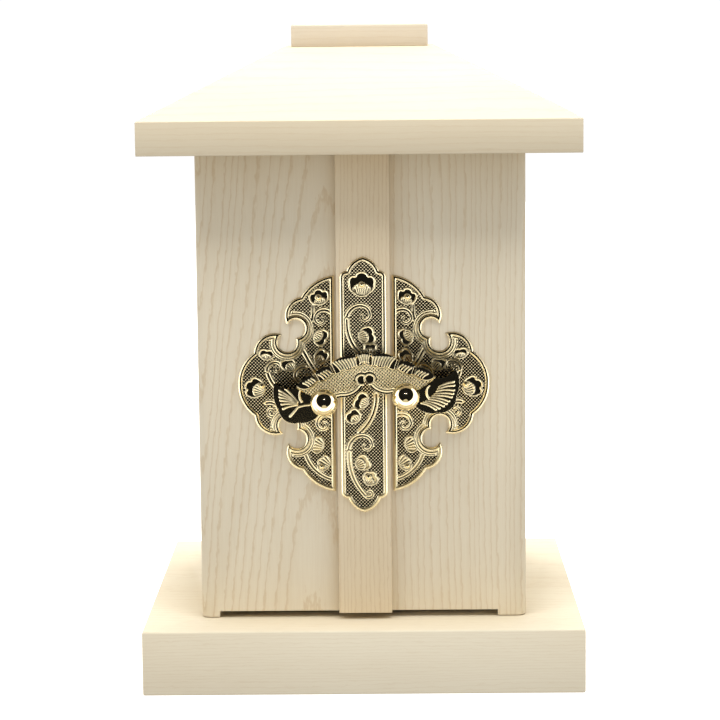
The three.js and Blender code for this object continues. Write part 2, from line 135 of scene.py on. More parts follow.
def linear(code: str) -> tuple[float, float, float, float]:
    """Turns an sRGB hex colour to linear.

    Args:
        code: The colour as six hex digits after a hash sign.

    Returns:
        Linear red, green, blue and an alpha of one.
    """
    channels = [int(code[i:i + 2], 16) / 255 for i in (1, 3, 5)]
    curve = [c / 12.92 if c <= 0.04045 else ((c + 0.055) / 1.055) ** 2.4 for c in channels]
    return (*curve, 1.0)


def add_node(
    tree: bpy.types.NodeTree,
    kind: str,
    settings: dict[str, object] | None = None,
    links: dict[int | str, object] | None = None,
) -> bpy.types.Node:
    """Adds a shader node with its settings and links.

    Args:
        tree: The node tree that takes the node.
        kind: The node's type.
        settings: Values of the node's own properties.
        links: For each input socket, a value or the output socket that feeds it.

    Returns:
        The new node.
    """
    node = tree.nodes.new(kind)
    for key, value in (settings or {}).items():
        setattr(node, key, value)
    for key, source in (links or {}).items():
        if isinstance(source, bpy.types.NodeSocket):
            tree.links.new(source, node.inputs[key])
        else:
            node.inputs[key].default_value = source
    return node


def smooth(x: Points, low: float, high: float) -> Points:
    """Rises smoothly from 0 at low to 1 at high.

    Args:
        x: Values to map.
        low: Where the rise starts.
        high: Where the rise ends.

    Returns:
        The mapped values.
    """
    t = np.clip((x - low) / (high - low), 0.0, 1.0)
    return t * t * (3 - 2 * t)


def ridge(distance: Points, half_width: float | Points, height: float) -> Points:
    """Gives the height of a ridge with straight flanks and a slightly eased top.

    Args:
        distance: Distance from the ridge's centreline.
        half_width: Half the ridge's width at its foot.
        height: The ridge's height at its centre.

    Returns:
        The height at each point.
    """
    eased = np.sqrt(distance**2 + (EASING * half_width) ** 2)
    return height * np.clip(1 - eased / half_width, 0.0, 1.0)


# Outlines


def arc(start: Sequence[float], through: Sequence[float], end: Sequence[float]) -> list[Points]:
    """Gives points on the circle through three points.

    Args:
        start: Where the arc starts.
        through: A point on the way.
        end: Where the arc ends; it isn't among the points returned.

    Returns:
        The points from the start up to the end.
    """
    (ax, ay), (bx, by), (cx, cy) = start, through, end
    twist = 2 * (ax * (by - cy) + bx * (cy - ay) + cx * (ay - by))
    a2, b2, c2 = ax * ax + ay * ay, bx * bx + by * by, cx * cx + cy * cy
    ox = (a2 * (by - cy) + b2 * (cy - ay) + c2 * (ay - by)) / twist
    oy = (a2 * (cx - bx) + b2 * (ax - cx) + c2 * (bx - ax)) / twist
    radius = math.hypot(ax - ox, ay - oy)
    first = math.atan2(ay - oy, ax - ox)
    sweep = (math.atan2(cy - oy, cx - ox) - first) % math.tau
    middle = (math.atan2(by - oy, bx - ox) - first) % math.tau
    span = sweep if middle < sweep else sweep - math.tau
    steps = max(2, round(radius * abs(span) / ARC_PITCH))
    angles = first + span * np.arange(steps) / steps
    return [np.array((ox + radius * math.cos(a), oy + radius * math.sin(a))) for a in angles]


def arcs(corners: Sequence[Sequence[float]]) -> Points:
    """Gives a run of arcs: corner, point on the way, corner, point on the way, ..., last corner.

    Args:
        corners: The corners and the points between them.

    Returns:
        The points of the run, with the last corner.
    """
    run = [point for i in range(0, len(corners) - 2, 2) for point in arc(*corners[i:i + 3])]
    return np.array([*run, corners[-1]], float)


def curl(centre: Sequence[float], start: float, sweep: float, first: float, last: float) -> Points:
    """Gives a spiral whose radius shrinks by an even ratio.

    Args:
        centre: The spiral's centre.
        start: The angle it starts at, in degrees.
        sweep: How far it turns, in degrees.
        first: Its radius at the start.
        last: Its radius at the end.

    Returns:
        The points of the spiral.
    """
    t = np.linspace(0.0, 1.0, int(abs(sweep) / CURL_PITCH) + 2)
    angle = np.radians(start + sweep * t)
    radius = first * (last / first) ** t
    return np.column_stack((centre[0] + radius * np.cos(angle), centre[1] + radius * np.sin(angle)))


def mirrored_u(points: Points) -> Points:
    """Mirrors points from right to left and keeps their sense of turn."""
    return (points * (-1, 1))[::-1]


def mirrored_w(points: Points) -> Points:
    """Mirrors points from top to bottom and keeps their sense of turn."""
    return (points * (1, -1))[::-1]


def path_distance(points: Points, path: Points) -> tuple[Points, Points]:
    """Measures how far points are from a path.

    Args:
        points: The points.
        path: The path's corners.

    Returns:
        Each point's distance from the path, and how far along the path the nearest place is, from 0 to 1.
    """
    best = np.full(len(points), np.inf)
    along = np.zeros(len(points))
    lengths = np.hypot(*np.diff(path, axis=0).T)
    before = np.concatenate(([0.0], np.cumsum(lengths)))
    for i, (a, b) in enumerate(zip(path[:-1], path[1:])):
        step = b - a
        t = np.clip(((points - a) @ step) / max(step @ step, 1e-12), 0.0, 1.0)
        gap = np.hypot(*(points - a - t[:, None] * step).T)
        nearer = gap < best
        best[nearer] = gap[nearer]
        along[nearer] = (before[i] + t[nearer] * lengths[i]) / before[-1]
    return best, along


def inwards(points: Points, outline: Points) -> Points:
    """Measures how far points lie inside a closed outline.

    Args:
        points: The points.
        outline: The outline's corners.

    Returns:
        The distance to the outline, positive inside and negative outside.
    """
    closed = np.vstack((outline, outline[:1]))
    gap, _ = path_distance(points, closed)
    inside = np.zeros(len(points), bool)
    x, y = points.T
    for (ax, ay), (bx, by) in zip(closed[:-1], closed[1:]):
        if ay == by:
            continue
        crosses = (ay > y) != (by > y)
        inside ^= crosses & (x < ax + (y - ay) * (bx - ax) / (by - ay))
    return np.where(inside, gap, -gap)


# Relief: heights over a flat sheet, on a square grid


@dataclass
class Relief:
    """The chased surface of one sheet, as heights on a square grid.

    Attributes:
        outline: The sheet's outline.
        step: The grid's step.
        base: The sheet's thickness where nothing is raised.
    """

    outline: Points
    step: float
    base: float
    points: Points = field(init=False)
    shape: tuple[int, int] = field(init=False)
    inside: Points = field(init=False)
    height: Points = field(init=False)
    matting_and_shade: Points = field(init=False)

    def __post_init__(self) -> None:
        """Lays the grid over the outline and measures how far inside each point lies."""
        low = np.floor(self.outline.min(0) / self.step - 1.0)
        high = np.ceil(self.outline.max(0) / self.step + 1.0)
        columns = np.arange(low[0], high[0] + 1) * self.step
        rows = np.arange(low[1], high[1] + 1) * self.step
        self.shape = (len(columns), len(rows))
        u, w = np.meshgrid(columns, rows, indexing="ij")
        self.points = np.column_stack((u.ravel(), w.ravel()))
        self.inside = inwards(self.points, self.outline)
        self.height = np.zeros(len(self.points))
        self.matting_and_shade = np.zeros(len(self.points))

    def near(self, places: Points, reach: float) -> Points:
        """Finds the grid points near some places.

        Args:
            places: The places.
            reach: How far beyond their box to look.

        Returns:
            The indices of the grid points in the widened box.
        """
        low, high = places.min(0) - reach, places.max(0) + reach
        found = (self.points >= low).all(1) & (self.points <= high).all(1) & (self.inside > -self.step)
        return np.nonzero(found)[0]

    def within(self, centre: Sequence[float], radius: float) -> tuple[Points, Points]:
        """Finds the grid points within a circle.

        Args:
            centre: The circle's centre.
            radius: Its radius.

        Returns:
            The indices of the grid points, and their distances from the centre.
        """
        where = self.near(np.array([centre]), radius)
        distance = np.hypot(*(self.points[where] - centre).T)
        close = distance < radius
        return where[close], distance[close]

    def margin(self, width: float) -> Points:
        """Finds the grid points in a margin inside the outline, with those just outside it."""
        return np.nonzero((self.inside > -self.step) & (self.inside < width))[0]

    def cover(self, where: Points, height: Points) -> None:
        """Replaces the surface at some grid points: mirror-bright where flat, struck where raised.

        Args:
            where: Indices of the grid points.
            height: The new height at each of them.
        """
        self.height[where] = height
        self.matting_and_shade[where] = Surface.STRUCK.value * smooth(height, 0.0, STRUCK_FROM)

    def raise_to(self, where: Points, height: Points) -> None:
        """Raises the surface at some grid points, where it is lower.

        Args:
            where: Indices of the grid points.
            height: The least height at each of them.
        """
        self.height[where] = np.maximum(self.height[where], height)
        self.matting_and_shade[where] = Surface.STRUCK.value

    def triangles(self) -> Points:
        """Gives the grid's triangles, two to a cell.

        Returns:
            The three grid points of each triangle.
        """
        columns, rows = self.shape
        index = np.arange(columns * rows).reshape(self.shape)
        corner = index[:-1, :-1].ravel()
        cells = np.column_stack((corner, corner + rows, corner + rows + 1, corner + 1))
        return np.vstack((cells[:, [0, 1, 2]], cells[:, [0, 2, 3]]))

    def mesh(self, name: str, place: Callable[[Points, Points], Points]) -> bpy.types.Mesh:
        """Makes the closed sheet: the relief in front, a wall all round and a flat back.

        Args:
            name: The mesh's name.
            place: Turns lock coordinates and a height above the sheet's back to the row's frame.

        Returns:
            The mesh, in metres.
        """
        front = Front(self)
        edge = np.array(front.places)
        keep = np.concatenate((front.used, np.ones(len(edge), bool)))
        number = np.cumsum(keep) - 1
        total = int(keep.sum())
        flat = np.vstack((self.points, edge))[keep]
        lift = self.base + np.concatenate((self.height, front.heights))[keep]
        vertices = np.vstack((place(flat, lift), place(edge, np.zeros(len(edge)))))
        faces = [tuple(int(number[v]) for v in face) for face in front.faces]
        back_of = {v: total + v - len(self.points) for v in front.rim}
        walls = [(int(number[q]), int(number[p]), back_of[p], back_of[q]) for p, q in front.rim.items()]
        backs = [tuple(back_of[v] for v in reversed(loop)) for loop in closed_loops(front.rim)]
        mesh = bpy.data.meshes.new(name)
        mesh.from_pydata(vertices.tolist(), [], faces + walls + backs)
        matting_and_shade = np.zeros(len(mesh.vertices), np.float32)
        matting_and_shade[:total] = np.concatenate((self.matting_and_shade, np.zeros(len(edge))))[keep]
        mesh.attributes.new("matting_and_shade", "FLOAT", "POINT").data.foreach_set("value", matting_and_shade)
        smooth_faces = np.zeros(len(mesh.polygons), bool)
        smooth_faces[:len(faces)] = True
        mesh.polygons.foreach_set("use_smooth", smooth_faces)
        mesh.update()
        return mesh


@dataclass
class Front:
    """The front of a sheet: a relief's grid, trimmed along the outline.

    Attributes:
        relief: The relief.
        inside: How far inside the outline each grid point lies, moved a hair inwards where it lies on it.
        used: Which grid points the front has.
        faces: The faces. Grid points keep their numbers, and crossings are numbered on from them.
        rim: For each crossing, the next one along the rim.
        places: Where the outline crosses the grid's edges.
        heights: The height at each crossing.
        crossings: The number of the crossing on each grid edge that the outline crosses.
    """

    relief: Relief
    inside: Points = field(init=False)
    used: Points = field(init=False)
    faces: list[tuple[int, ...]] = field(init=False)
    rim: dict[int, int] = field(default_factory=dict)
    places: list[Points] = field(default_factory=list)
    heights: list[float] = field(default_factory=list)
    crossings: dict[tuple[int, int], int] = field(default_factory=dict)

    def __post_init__(self) -> None:
        """Keeps the triangles that lie inside, and trims those that the outline crosses."""
        least = 1e-5
        self.inside = np.where(np.abs(self.relief.inside) < least, least, self.relief.inside)
        triangles = self.relief.triangles()
        held = self.inside[triangles] > 0
        count = held.sum(1)
        whole = triangles[count == 3]
        self.used = np.zeros(len(self.inside), bool)
        self.used[whole] = True
        self.faces = [tuple(triangle) for triangle in whole]
        crossed = (count > 0) & (count < 3)
        for triangle, kept in zip(triangles[crossed], held[crossed]):
            self.trim(triangle, kept)

    def trim(self, triangle: Points, kept: Points) -> None:
        """Adds the part of a triangle that lies inside.

        Args:
            triangle: The triangle's three grid points.
            kept: Which of them lie inside; one or two do.
        """
        alone = kept.sum() == 1
        turn = int(np.argmax(kept)) if alone else (int(np.argmin(kept)) + 1) % 3
        a, b, c = (int(triangle[(turn + k) % 3]) for k in range(3))
        if alone:
            p, q = self.crossing(a, b), self.crossing(a, c)
            self.faces.append((a, p, q))
            self.used[a] = True
        else:
            p, q = self.crossing(b, c), self.crossing(a, c)
            self.faces.append((a, b, p, q))
            self.used[[a, b]] = True
        self.rim[p] = q

    def crossing(self, a: int, b: int) -> int:
        """Finds or adds the crossing on a grid edge.

        Args:
            a: The grid point at one end.
            b: The grid point at the other end.

        Returns:
            The crossing's number.
        """
        key = (a, b) if a < b else (b, a)
        if key not in self.crossings:
            points = self.relief.points
            share = self.inside[a] / (self.inside[a] - self.inside[b])
            self.crossings[key] = len(points) + len(self.places)
            self.places.append(points[a] + share * (points[b] - points[a]))
            self.heights.append(self.relief.height[a if self.inside[a] > 0 else b])
        return self.crossings[key]


def closed_loops(after: dict[int, int]) -> list[list[int]]:
    """Joins links from vertex to vertex into closed loops.

    Args:
        after: For each vertex, the one that follows it.

    Returns:
        The vertices of each loop, in order.
    """
    left = dict(after)
    loops = []
    while left:
        start, at = next(iter(left.items()))
        del left[start]
        loop = [start]
        while at != start:
            loop.append(at)
            at = left.pop(at)
        loops.append(loop)
    return loops


# Chased motifs


def in_own_axes(points: Points, centre: Sequence[float], tilt: float) -> Points:
    """Gives points in the axes of something that is turned about its centre.

    Args:
        points: The points.
        centre: The thing's centre.
        tilt: How far its first axis is turned, in degrees.

    Returns:
        The points along and across the thing.
    """
    angle = math.radians(tilt)
    shifted = points - centre
    along = shifted @ (math.cos(angle), math.sin(angle))
    across = shifted @ (-math.sin(angle), math.cos(angle))
    return np.column_stack((along, across))


@dataclass(frozen=True)
class Line:
    """A raised line that runs beside an edge or a midline.

    Attributes:
        place: How far from the edge or midline its middle runs.
        half_width: Half its width at its foot.
        height: Its height.
    """

    place: float
    half_width: float
    height: float

    def over(self, distance: Points) -> Points:
        """Gives the line's height at some distances from the edge or midline."""
        return ridge(distance - self.place, self.half_width, self.height)


@dataclass(frozen=True)
class Vine:
    """A vine stem: two raised lines with a bright groove between them, all tapering together.

    Attributes:
        path: The stem's midline.
        first: Its scale where it starts.
        last: Its scale where it ends.
        line: The line on each side of the midline, at full scale.
        reach: Half the stem's whole width at full scale.
    """

    path: Points
    first: float = 1.0
    last: float = 1.0
    line: Line = Line(0.72, 0.38, 0.35)
    reach: float = 1.35

    def carve(self, relief: Relief) -> None:
        """Chases the stem into a sheet.

        Args:
            relief: The sheet's relief.
        """
        where = relief.near(self.path, self.reach)
        distance, along = path_distance(relief.points[where], self.path)
        scale = self.first + (self.last - self.first) * along
        share = distance / scale
        within = share < self.reach
        relief.cover(where[within], (self.line.over(share) * scale)[within])


@dataclass(frozen=True)
class Stroke:
    """A raised line whose half-width changes evenly from end to end.

    Attributes:
        path: The line's middle.
        first: Its half-width where it starts.
        last: Its half-width where it ends.
        height: Its height.
        level: The height of the surface that it stands on.
    """

    path: Points
    first: float
    last: float
    height: float
    level: float = 0.0

    def carve(self, relief: Relief) -> None:
        """Raises the line on a sheet.

        Args:
            relief: The sheet's relief.
        """
        where = relief.near(self.path, max(self.first, self.last))
        distance, along = path_distance(relief.points[where], self.path)
        half_width = self.first + (self.last - self.first) * along
        within = distance < half_width
        relief.raise_to(where[within], self.level + ridge(distance, half_width, self.height)[within])


@dataclass(frozen=True)
class Leaf:
    """A leaf or blossom: a scalloped edge round a smooth hollow, and a fluted calyx.

    Attributes:
        centre: Its centre.
        tilt: The turn of its length, in degrees; its hollow faces the side to the left of that.
        length: Its length.
        width: Its width.
        lobes: How many lobes its hollow side has.
        calyx: The calyx's size as a share of the leaf's, or 0 where flutes cover the whole leaf.
        edge_line: The raised line inside the edge.
        calyx_line: The raised line inside the calyx's edge.
        flute: The ridge of one flute.
        flute_pitch: How far apart the flutes are at the leaf's centre.
        flute_start: How far inside the edge the flutes of a whole leaf start.
        root: How far below the centre the flutes' fan starts, as a share of the width.
        calyx_drop: How far below the centre the calyx sits, as a share of half the width.
        waist: The edge's size between the lobes, as a share of the leaf's.
        lobe_rise: How much a lobe adds to that.
        lobe_squareness: The exponent that shapes the lobes; below 1 they are broad with tight clefts.
    """

    centre: tuple[float, float]
    tilt: float
    length: float
    width: float
    lobes: int
    calyx: float = 0.62
    edge_line: Line = Line(0.4, 0.46, 0.42)
    calyx_line: Line = Line(0.34, 0.4, 0.36)
    flute: Line = Line(0.0, 0.36, 0.33)
    flute_pitch: float = 1.05
    flute_start: float = 0.55
    root: float = 0.95
    calyx_drop: float = 0.42
    waist: float = 0.9
    lobe_rise: float = 0.24
    lobe_squareness: float = 0.7

    def outline(self) -> Points:
        """Gives the scalloped edge, along and across the leaf.

        Returns:
            The edge's corners.
        """
        t = np.linspace(0.0, math.tau, 72, endpoint=False)
        lobe = np.maximum(0.0, np.sin(t)) * np.abs(np.sin(self.lobes * t)) ** self.lobe_squareness
        swell = self.waist + self.lobe_rise * lobe
        return np.column_stack((self.length / 2 * swell * np.cos(t), self.width / 2 * swell * np.sin(t)))

    def calyx_outline(self) -> Points:
        """Gives the calyx's oval, along and across the leaf.

        Returns:
            The oval's corners.
        """
        t = np.linspace(0.0, math.tau, 40, endpoint=False)
        along, across = np.array((self.length, self.width)) / 2 * self.calyx
        drop = self.calyx_drop * self.width / 2
        return np.column_stack((along * np.cos(t), across * np.sin(t) - drop))

    def flutes(self, local: Points) -> Points:
        """Gives the height of the flutes, which fan out from the leaf's root.

        Args:
            local: Points along and across the leaf.

        Returns:
            The height at each point.
        """
        depth = self.root * self.width
        fan = np.arctan2(*(local - (0.0, -depth)).T)
        turn = self.flute_pitch / depth
        return self.flute.over(np.abs((fan / turn) % 1.0 - 0.5) * self.flute_pitch)

    def carve(self, relief: Relief) -> None:
        """Chases the leaf into a sheet.

        Args:
            relief: The sheet's relief.
        """
        where = relief.near(np.array([self.centre]), max(self.length, self.width))
        local = in_own_axes(relief.points[where], self.centre, self.tilt)
        edge = inwards(local, self.outline())
        height = self.edge_line.over(edge)
        flutes = self.flutes(local)
        if self.calyx:
            calyx_edge = inwards(local, self.calyx_outline())
            height = np.where(calyx_edge > 0, np.maximum(self.calyx_line.over(calyx_edge), flutes), height)
            covered = (edge > 0) | (calyx_edge > 0)
        else:
            height = np.where(edge > self.flute_start, np.maximum(height, flutes), height)
            covered = edge > 0
        relief.cover(where[covered], height[covered])


@dataclass(frozen=True)
class Collar:
    """A raised ring with a smooth flat inside.

    Attributes:
        centre: The ring's centre.
        ring: The ring's line; its place is the ring's radius.
    """

    centre: tuple[float, float]
    ring: Line = Line(1.15, 0.34, 0.32)

    def carve(self, relief: Relief) -> None:
        """Raises the ring on a sheet."""
        where, distance = relief.within(self.centre, self.ring.place + self.ring.half_width)
        relief.cover(where, self.ring.over(distance))


@dataclass(frozen=True)
class Punch:
    """A ring punch, which leaves rows of tiny raised grains with pits between them, painted dark as shade.

    Real grains stand about 0.75 mm apart. They are drawn 1 mm apart, so that the rows show.

    Attributes:
        radius: A grain's radius.
        height: A grain's height.
        pitch: The distance between grains in a row; every other row is shifted by half of it.
        pit_top: The height up to which a grain takes the pits' painted shade, as a share of its own.
        lit_from: The height from which a grain shines, as a share of its own.
    """

    radius: float
    height: float
    pitch: float = 1.4
    pit_top: float = 0.2
    lit_from: float = 0.65

    def cover(self, relief: Relief) -> None:
        """Covers a sheet with grains.

        Args:
            relief: The sheet's relief.
        """
        distance = np.full(len(relief.points), np.inf)
        for shift in (0.0, self.pitch / 2):
            offset = (relief.points - shift + self.pitch / 2) % self.pitch - self.pitch / 2
            distance = np.minimum(distance, np.hypot(*offset.T))
        relief.height = ridge(distance, self.radius, self.height)
        # Painted shade: low parts of the grains take the near-black pit colour in place of the shade among
        # them.
        lit = smooth(relief.height, self.pit_top * self.height, self.lit_from * self.height)
        relief.matting_and_shade = Surface.PIT.value + (Surface.STRUCK.value - Surface.PIT.value) * lit


# The lock's pieces


def on_leaf(back: float) -> Callable[[Points, Points], Points]:
    """Gives the function that puts a sheet's points on a vertical face.

    Args:
        back: The y of the sheet's back, in millimetres.

    Returns:
        A function from lock coordinates and a height above the back to the row's frame, in metres.
    """
    def place(flat: Points, lift: Points) -> Points:
        """Places points of a sheet."""
        return np.column_stack((LOCK_X + flat[:, 0], back - lift, LOCK_Z + flat[:, 1])) * MM

    return place


def on_clasp(back: float) -> Callable[[Points, Points], Points]:
    """Gives the function that puts points on the clasp, which hangs slightly askew.

    Args:
        back: The y of the clasp's back, in millimetres.

    Returns:
        A function from clasp coordinates and a height above the back to the row's frame, in metres.
    """
    upright = on_leaf(back)
    cosine, sine = math.cos(CLASP_TILT), math.sin(CLASP_TILT)
    turn = np.array(((cosine, sine), (-sine, cosine)))

    def place(flat: Points, lift: Points) -> Points:
        """Places points of the clasp."""
        return upright(flat @ turn + (CLASP_SHIFT, 0.0), lift)

    return place


def add_piece(mesh: bpy.types.Mesh, name: str, body: Body, slot: Slot,
              nodes: Sequence[str]) -> bpy.types.Object:
    """Adds a piece that rides on a body and stands for some solids, and reports it.

    Args:
        mesh: The piece's mesh, in the row's frame.
        name: The piece's name.
        body: The body that it rides on.
        slot: The material slot that it belongs to; not used.
        nodes: The solids that it stands for.

    Returns:
        The piece.
    """
    piece = bpy.data.objects.new(name, mesh)
    bpy.context.scene.collection.objects.link(piece)
    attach(piece, body.value)
    if nodes:
        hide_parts(*nodes)
    log.info("%s: %d faces", name, len(mesh.polygons))
    return piece


def turned(name: str, profile: Points, centre: Sequence[float], place: Callable[[Points, Points], Points],
           sides: int, crease: float) -> bpy.types.Mesh:
    """Turns a profile about an axis that stands straight out from the lock.

    Args:
        name: The mesh's name.
        profile: Radius and height pairs, from the axis at the bottom to the axis at the top.
        centre: The axis's place in lock coordinates.
        place: Turns lock coordinates and a height to the row's frame.
        sides: How many sides the round has.
        crease: The angle above which an edge stays sharp.

    Returns:
        The mesh, in metres.
    """
    angle = np.linspace(0.0, math.tau, sides, endpoint=False)
    circle = np.column_stack((np.cos(angle), np.sin(angle)))
    rings = profile[1:-1]
    flat = np.vstack([np.zeros((1, 2)), *(radius * circle for radius, _ in rings), np.zeros((1, 2))])
    lift = np.concatenate(([profile[0, 1]], np.repeat(rings[:, 1], sides), [profile[-1, 1]]))
    top = len(flat) - 1
    faces: list[tuple[int, ...]] = []
    for i in range(sides):
        after = (i + 1) % sides
        faces.append((0, 1 + after, 1 + i))
        for k in range(len(rings) - 1):
            low, high = 1 + k * sides, 1 + (k + 1) * sides
            faces.append((low + i, low + after, high + after, high + i))
        last = 1 + (len(rings) - 1) * sides
        faces.append((last + i, last + after, top))
    mesh = bpy.data.meshes.new(name)
    mesh.from_pydata(place(flat + centre, lift).tolist(), [], faces)
    mesh.polygons.foreach_set("use_smooth", np.ones(len(mesh.polygons), bool))
    mesh.set_sharp_from_angle(angle=crease)
    mesh.update()
    return mesh


@dataclass(frozen=True)
class Nail:
    """A small domed nail through a plate.

    Attributes:
        spot: Its place on the plate, as the end of its name.
        centre: Its centre in lock coordinates.
        radius: Its head's radius.
        wall: How far its head rises straight before it rounds over.
        dome: How high the rounding is.
        sides: How many sides its round has.
    """

    spot: str
    centre: tuple[float, float]
    radius: float = 0.7
    wall: float = 0.3
    dome: float = 0.45
    sides: int = 24

    def build(self, plate: str, body: Body, back: float, finish: "GoldPlate") -> None:
        """Builds the nail's head.

        Args:
            plate: The name of the plate's side.
            body: The body that the plate rides on.
            back: The y of the plate's back.
            finish: The nail's finish.
        """
        quarter = np.linspace(0.0, math.pi / 2, 9)
        lift = SHEET + self.wall + self.dome * np.sin(quarter)
        dome = np.column_stack((self.radius * np.cos(quarter), lift))
        profile = np.vstack(((0.0, SHEET), (self.radius, SHEET), dome))
        name = f"nail_{plate}_{self.spot}"
        mesh = turned(f"{name}_head", profile, self.centre, on_leaf(back), self.sides, math.radians(60))
        finish.dress(add_piece(mesh, f"{name}_head", body, Slot.GILT, [name]))


@dataclass
class Plate:
    """A chased sheet of the lock with its nails.

    Attributes:
        side: The side's name.
        body: The body that it rides on.
        back: The y of its back.
        outline: Its outline.
        motifs: The chasing on it.
        nails: Its nails.
        notches: Centres of the round cut-outs that extra lines follow.
        step: The relief grid's step.
        punch: The punch of its ground.
        notch_reach: How far from a cut-out's centre the extra lines go.
        notch_depth: How far in from the edge the smooth ground under them goes.
        notch_lines: The extra lines, a broad and a thin one.
        rim_height: The height of the rim.
        rim_bevel: How far in from the edge the rim's bevel goes.
        rim_top: How far in its flat top goes.
        rim_foot: How far in its inner flank goes.
    """

    side: str
    body: Body
    back: float
    outline: Points
    motifs: Sequence[Vine | Leaf]
    nails: Sequence[Nail]
    notches: Sequence[tuple[float, float]] = ()
    step: float = 0.15
    punch: Punch = Punch(0.5, 0.45)
    notch_reach: float = 7.5
    notch_depth: float = 3.6
    notch_lines: tuple[Line, Line] = (Line(2.3, 0.42, 0.38), Line(3.2, 0.28, 0.26))
    rim_height: float = 0.5
    rim_bevel: float = 0.5
    rim_top: float = 1.2
    rim_foot: float = 1.65

    def build(self, finish: "GoldPlate") -> None:
        """Builds the sheet and its nails.

        Args:
            finish: Their finish.
        """
        relief = Relief(self.outline, self.step, SHEET)
        self.punch.cover(relief)
        for motif in (*self.motifs, *(Collar(nail.centre) for nail in self.nails)):
            motif.carve(relief)
        self.add_notch_lines(relief)
        self.add_rim(relief)
        name = f"plate_{self.side}"
        mesh = relief.mesh(f"{name}_chased", on_leaf(self.back))
        finish.dress(add_piece(mesh, f"{name}_chased", self.body, Slot.GILT, [name]))
        for nail in self.nails:
            nail.build(self.side, self.body, self.back, finish)

    def add_notch_lines(self, relief: Relief) -> None:
        """Adds a broad and a thin line that follow the rim round the cut-outs.

        Args:
            relief: The plate's relief.
        """
        for notch in self.notches:
            where, _ = relief.within(notch, self.notch_reach)
            where = where[relief.inside[where] < self.notch_depth]
            lines = [line.over(relief.inside[where]) for line in self.notch_lines]
            relief.cover(where, np.maximum(*lines))

    def add_rim(self, relief: Relief) -> None:
        """Adds the raised rim: a bevel to the edge, a flat top and a steep flank down to the ground.

        Args:
            relief: The plate's relief.
        """
        where = relief.margin(self.rim_foot)
        depth = relief.inside[where]
        rise = np.clip(depth / self.rim_bevel, 0.0, 1.0)
        fall = np.clip((self.rim_foot - depth) / (self.rim_foot - self.rim_top), 0.0, 1.0)
        relief.cover(where, self.rim_height * np.minimum(rise, fall))
        flat = (depth > self.rim_bevel) & (depth < self.rim_top)
        relief.matting_and_shade[where[flat]] = Surface.MIRROR.value


def side_plate_outline() -> Points:
    """Gives the right-hand plate's outline: lobes, two pairs of round cut-outs and a low outer point.

    Returns:
        The outline's corners.
    """
    upper = arcs([
        [11.9, 44.6], [19, 42.2], [25.3, 35.8], [31.3, 31.2], [31, 24.6], [24.2, 24.85], [27.6, 19],
        [32.3, 13.5], [33.2, 20.5], [41, 19.6], [44.8, 13.1], [49.4, 7.9], [51.3, 0],
    ])
    return np.vstack((upper, mirrored_w(upper)[1:]))


def centre_plate_outline() -> Points:
    """Gives the middle plate's outline: a shoulder and a pointed arch at each end.

    Returns:
        The outline's corners.
    """
    right = arcs([[9.35, 44.4], [8.5, 46.1], [6.6, 46.8], [4.2, 50.4], [0, 52.5]])
    top = np.vstack((right, mirrored_u(right)[1:]))
    return np.vstack((top, mirrored_w(top)))


SIDE_NOTCHES = ((27.5, 22.85), (31.2, 17.3), (27.5, -22.85), (31.2, -17.3))


def side_motifs() -> list[Vine | Leaf]:
    """Gives the chasing on the right-hand plate.

    Returns:
        The vines first, and the leaves that lie over them.
    """
    return [
        Vine(arcs([[19.2, 4.5], [22.6, 10.4], [25.7, 16.2]])),
        Vine(arcs([[25.7, 16.2], [22.2, 22.6], [20.4, 32.4]]), 1.0, 0.7),
        Vine(curl((17, 26.6), 165, -400, 5.4, 0.9), 1.0, 0.5),
        Vine(arcs([[31.6, -4.7], [36.6, -0.2], [39.2, 5]])),
        Vine(curl((35.6, 6.6), -10, 400, 3.9, 0.8), 0.9, 0.5),
        Vine(curl((37.9, -11.2), 60, 470, 4.2, 0.8), 0.9, 0.5),
        Vine(curl((24.6, 3), 100, -330, 4.4, 1.6), 0.9, 0.6),
        Vine(curl((16.4, -16.8), 150, -420, 5.2, 0.9), 1.0, 0.5),
        Vine(arcs([[24.6, -25], [20.6, -35], [13.7, -39.4]]), 1.0, 0.8),
        Leaf((17.8, 35.6), -12, 9.4, 7.0, 3, 0.5),
        Leaf((17.4, 19.4), 120, 8.4, 6.0, 2),
        Leaf((17.3, 11.2), 35, 6.6, 7.0, 2),
        Leaf((39.6, 12.4), 8, 7.6, 4.8, 2),
        Leaf((30.6, 8.2), -40, 7.0, 6.6, 2),
        Leaf((44.4, -1.4), -65, 9.8, 8.2, 3),
        Leaf((18.8, -25.4), -70, 8, 5.4, 2, 0.0),
        Leaf((16.4, -33), -60, 8, 5.6, 3, 0.0),
    ]


def centre_motifs() -> list[Vine | Leaf]:
    """Gives the chasing on the middle plate.

    Returns:
        The vines first, and the leaves that lie over them.
    """
    return [
        Vine(curl((0.2, 28.4), 190, -400, 7.2, 0.8), 1.0, 0.5),
        Vine(arcs([[-6.6, 27], [-5.9, 21], [-1.6, 13.6]])),
        Vine(arcs([[5, -3.6], [3.6, -12], [-1.8, -19.4]])),
        Vine(curl((0.6, -25), 190, -400, 7.2, 0.8), 1.0, 0.5),
        Vine(arcs([[-6.2, -27.6], [-4.4, -38], [1, -46.2]]), 1.0, 0.8),
        Vine(curl((2, -44.6), -120, 330, 1.8, 0.6), 0.8, 0.5),
        Leaf((-0.4, 41.2), 0, 12.4, 9.8, 3, 0.6),
        Leaf((1.4, 20.4), -75, 8.8, 7.0, 2),
        Leaf((2.8, 15.2), 0, 6.4, 5.0, 2),
        Leaf((-0.9, -6.6), 60, 8.8, 6.0, 2, 0.55),
        Leaf((-4.2, -12.8), 40, 7.6, 6.2, 2, 0.55),
        Leaf((-0.6, -32), -60, 7.6, 6.0, 2, 0.7),
        Leaf((2.4, -38.6), -30, 7.6, 6.2, 3, 0.6),
    ]


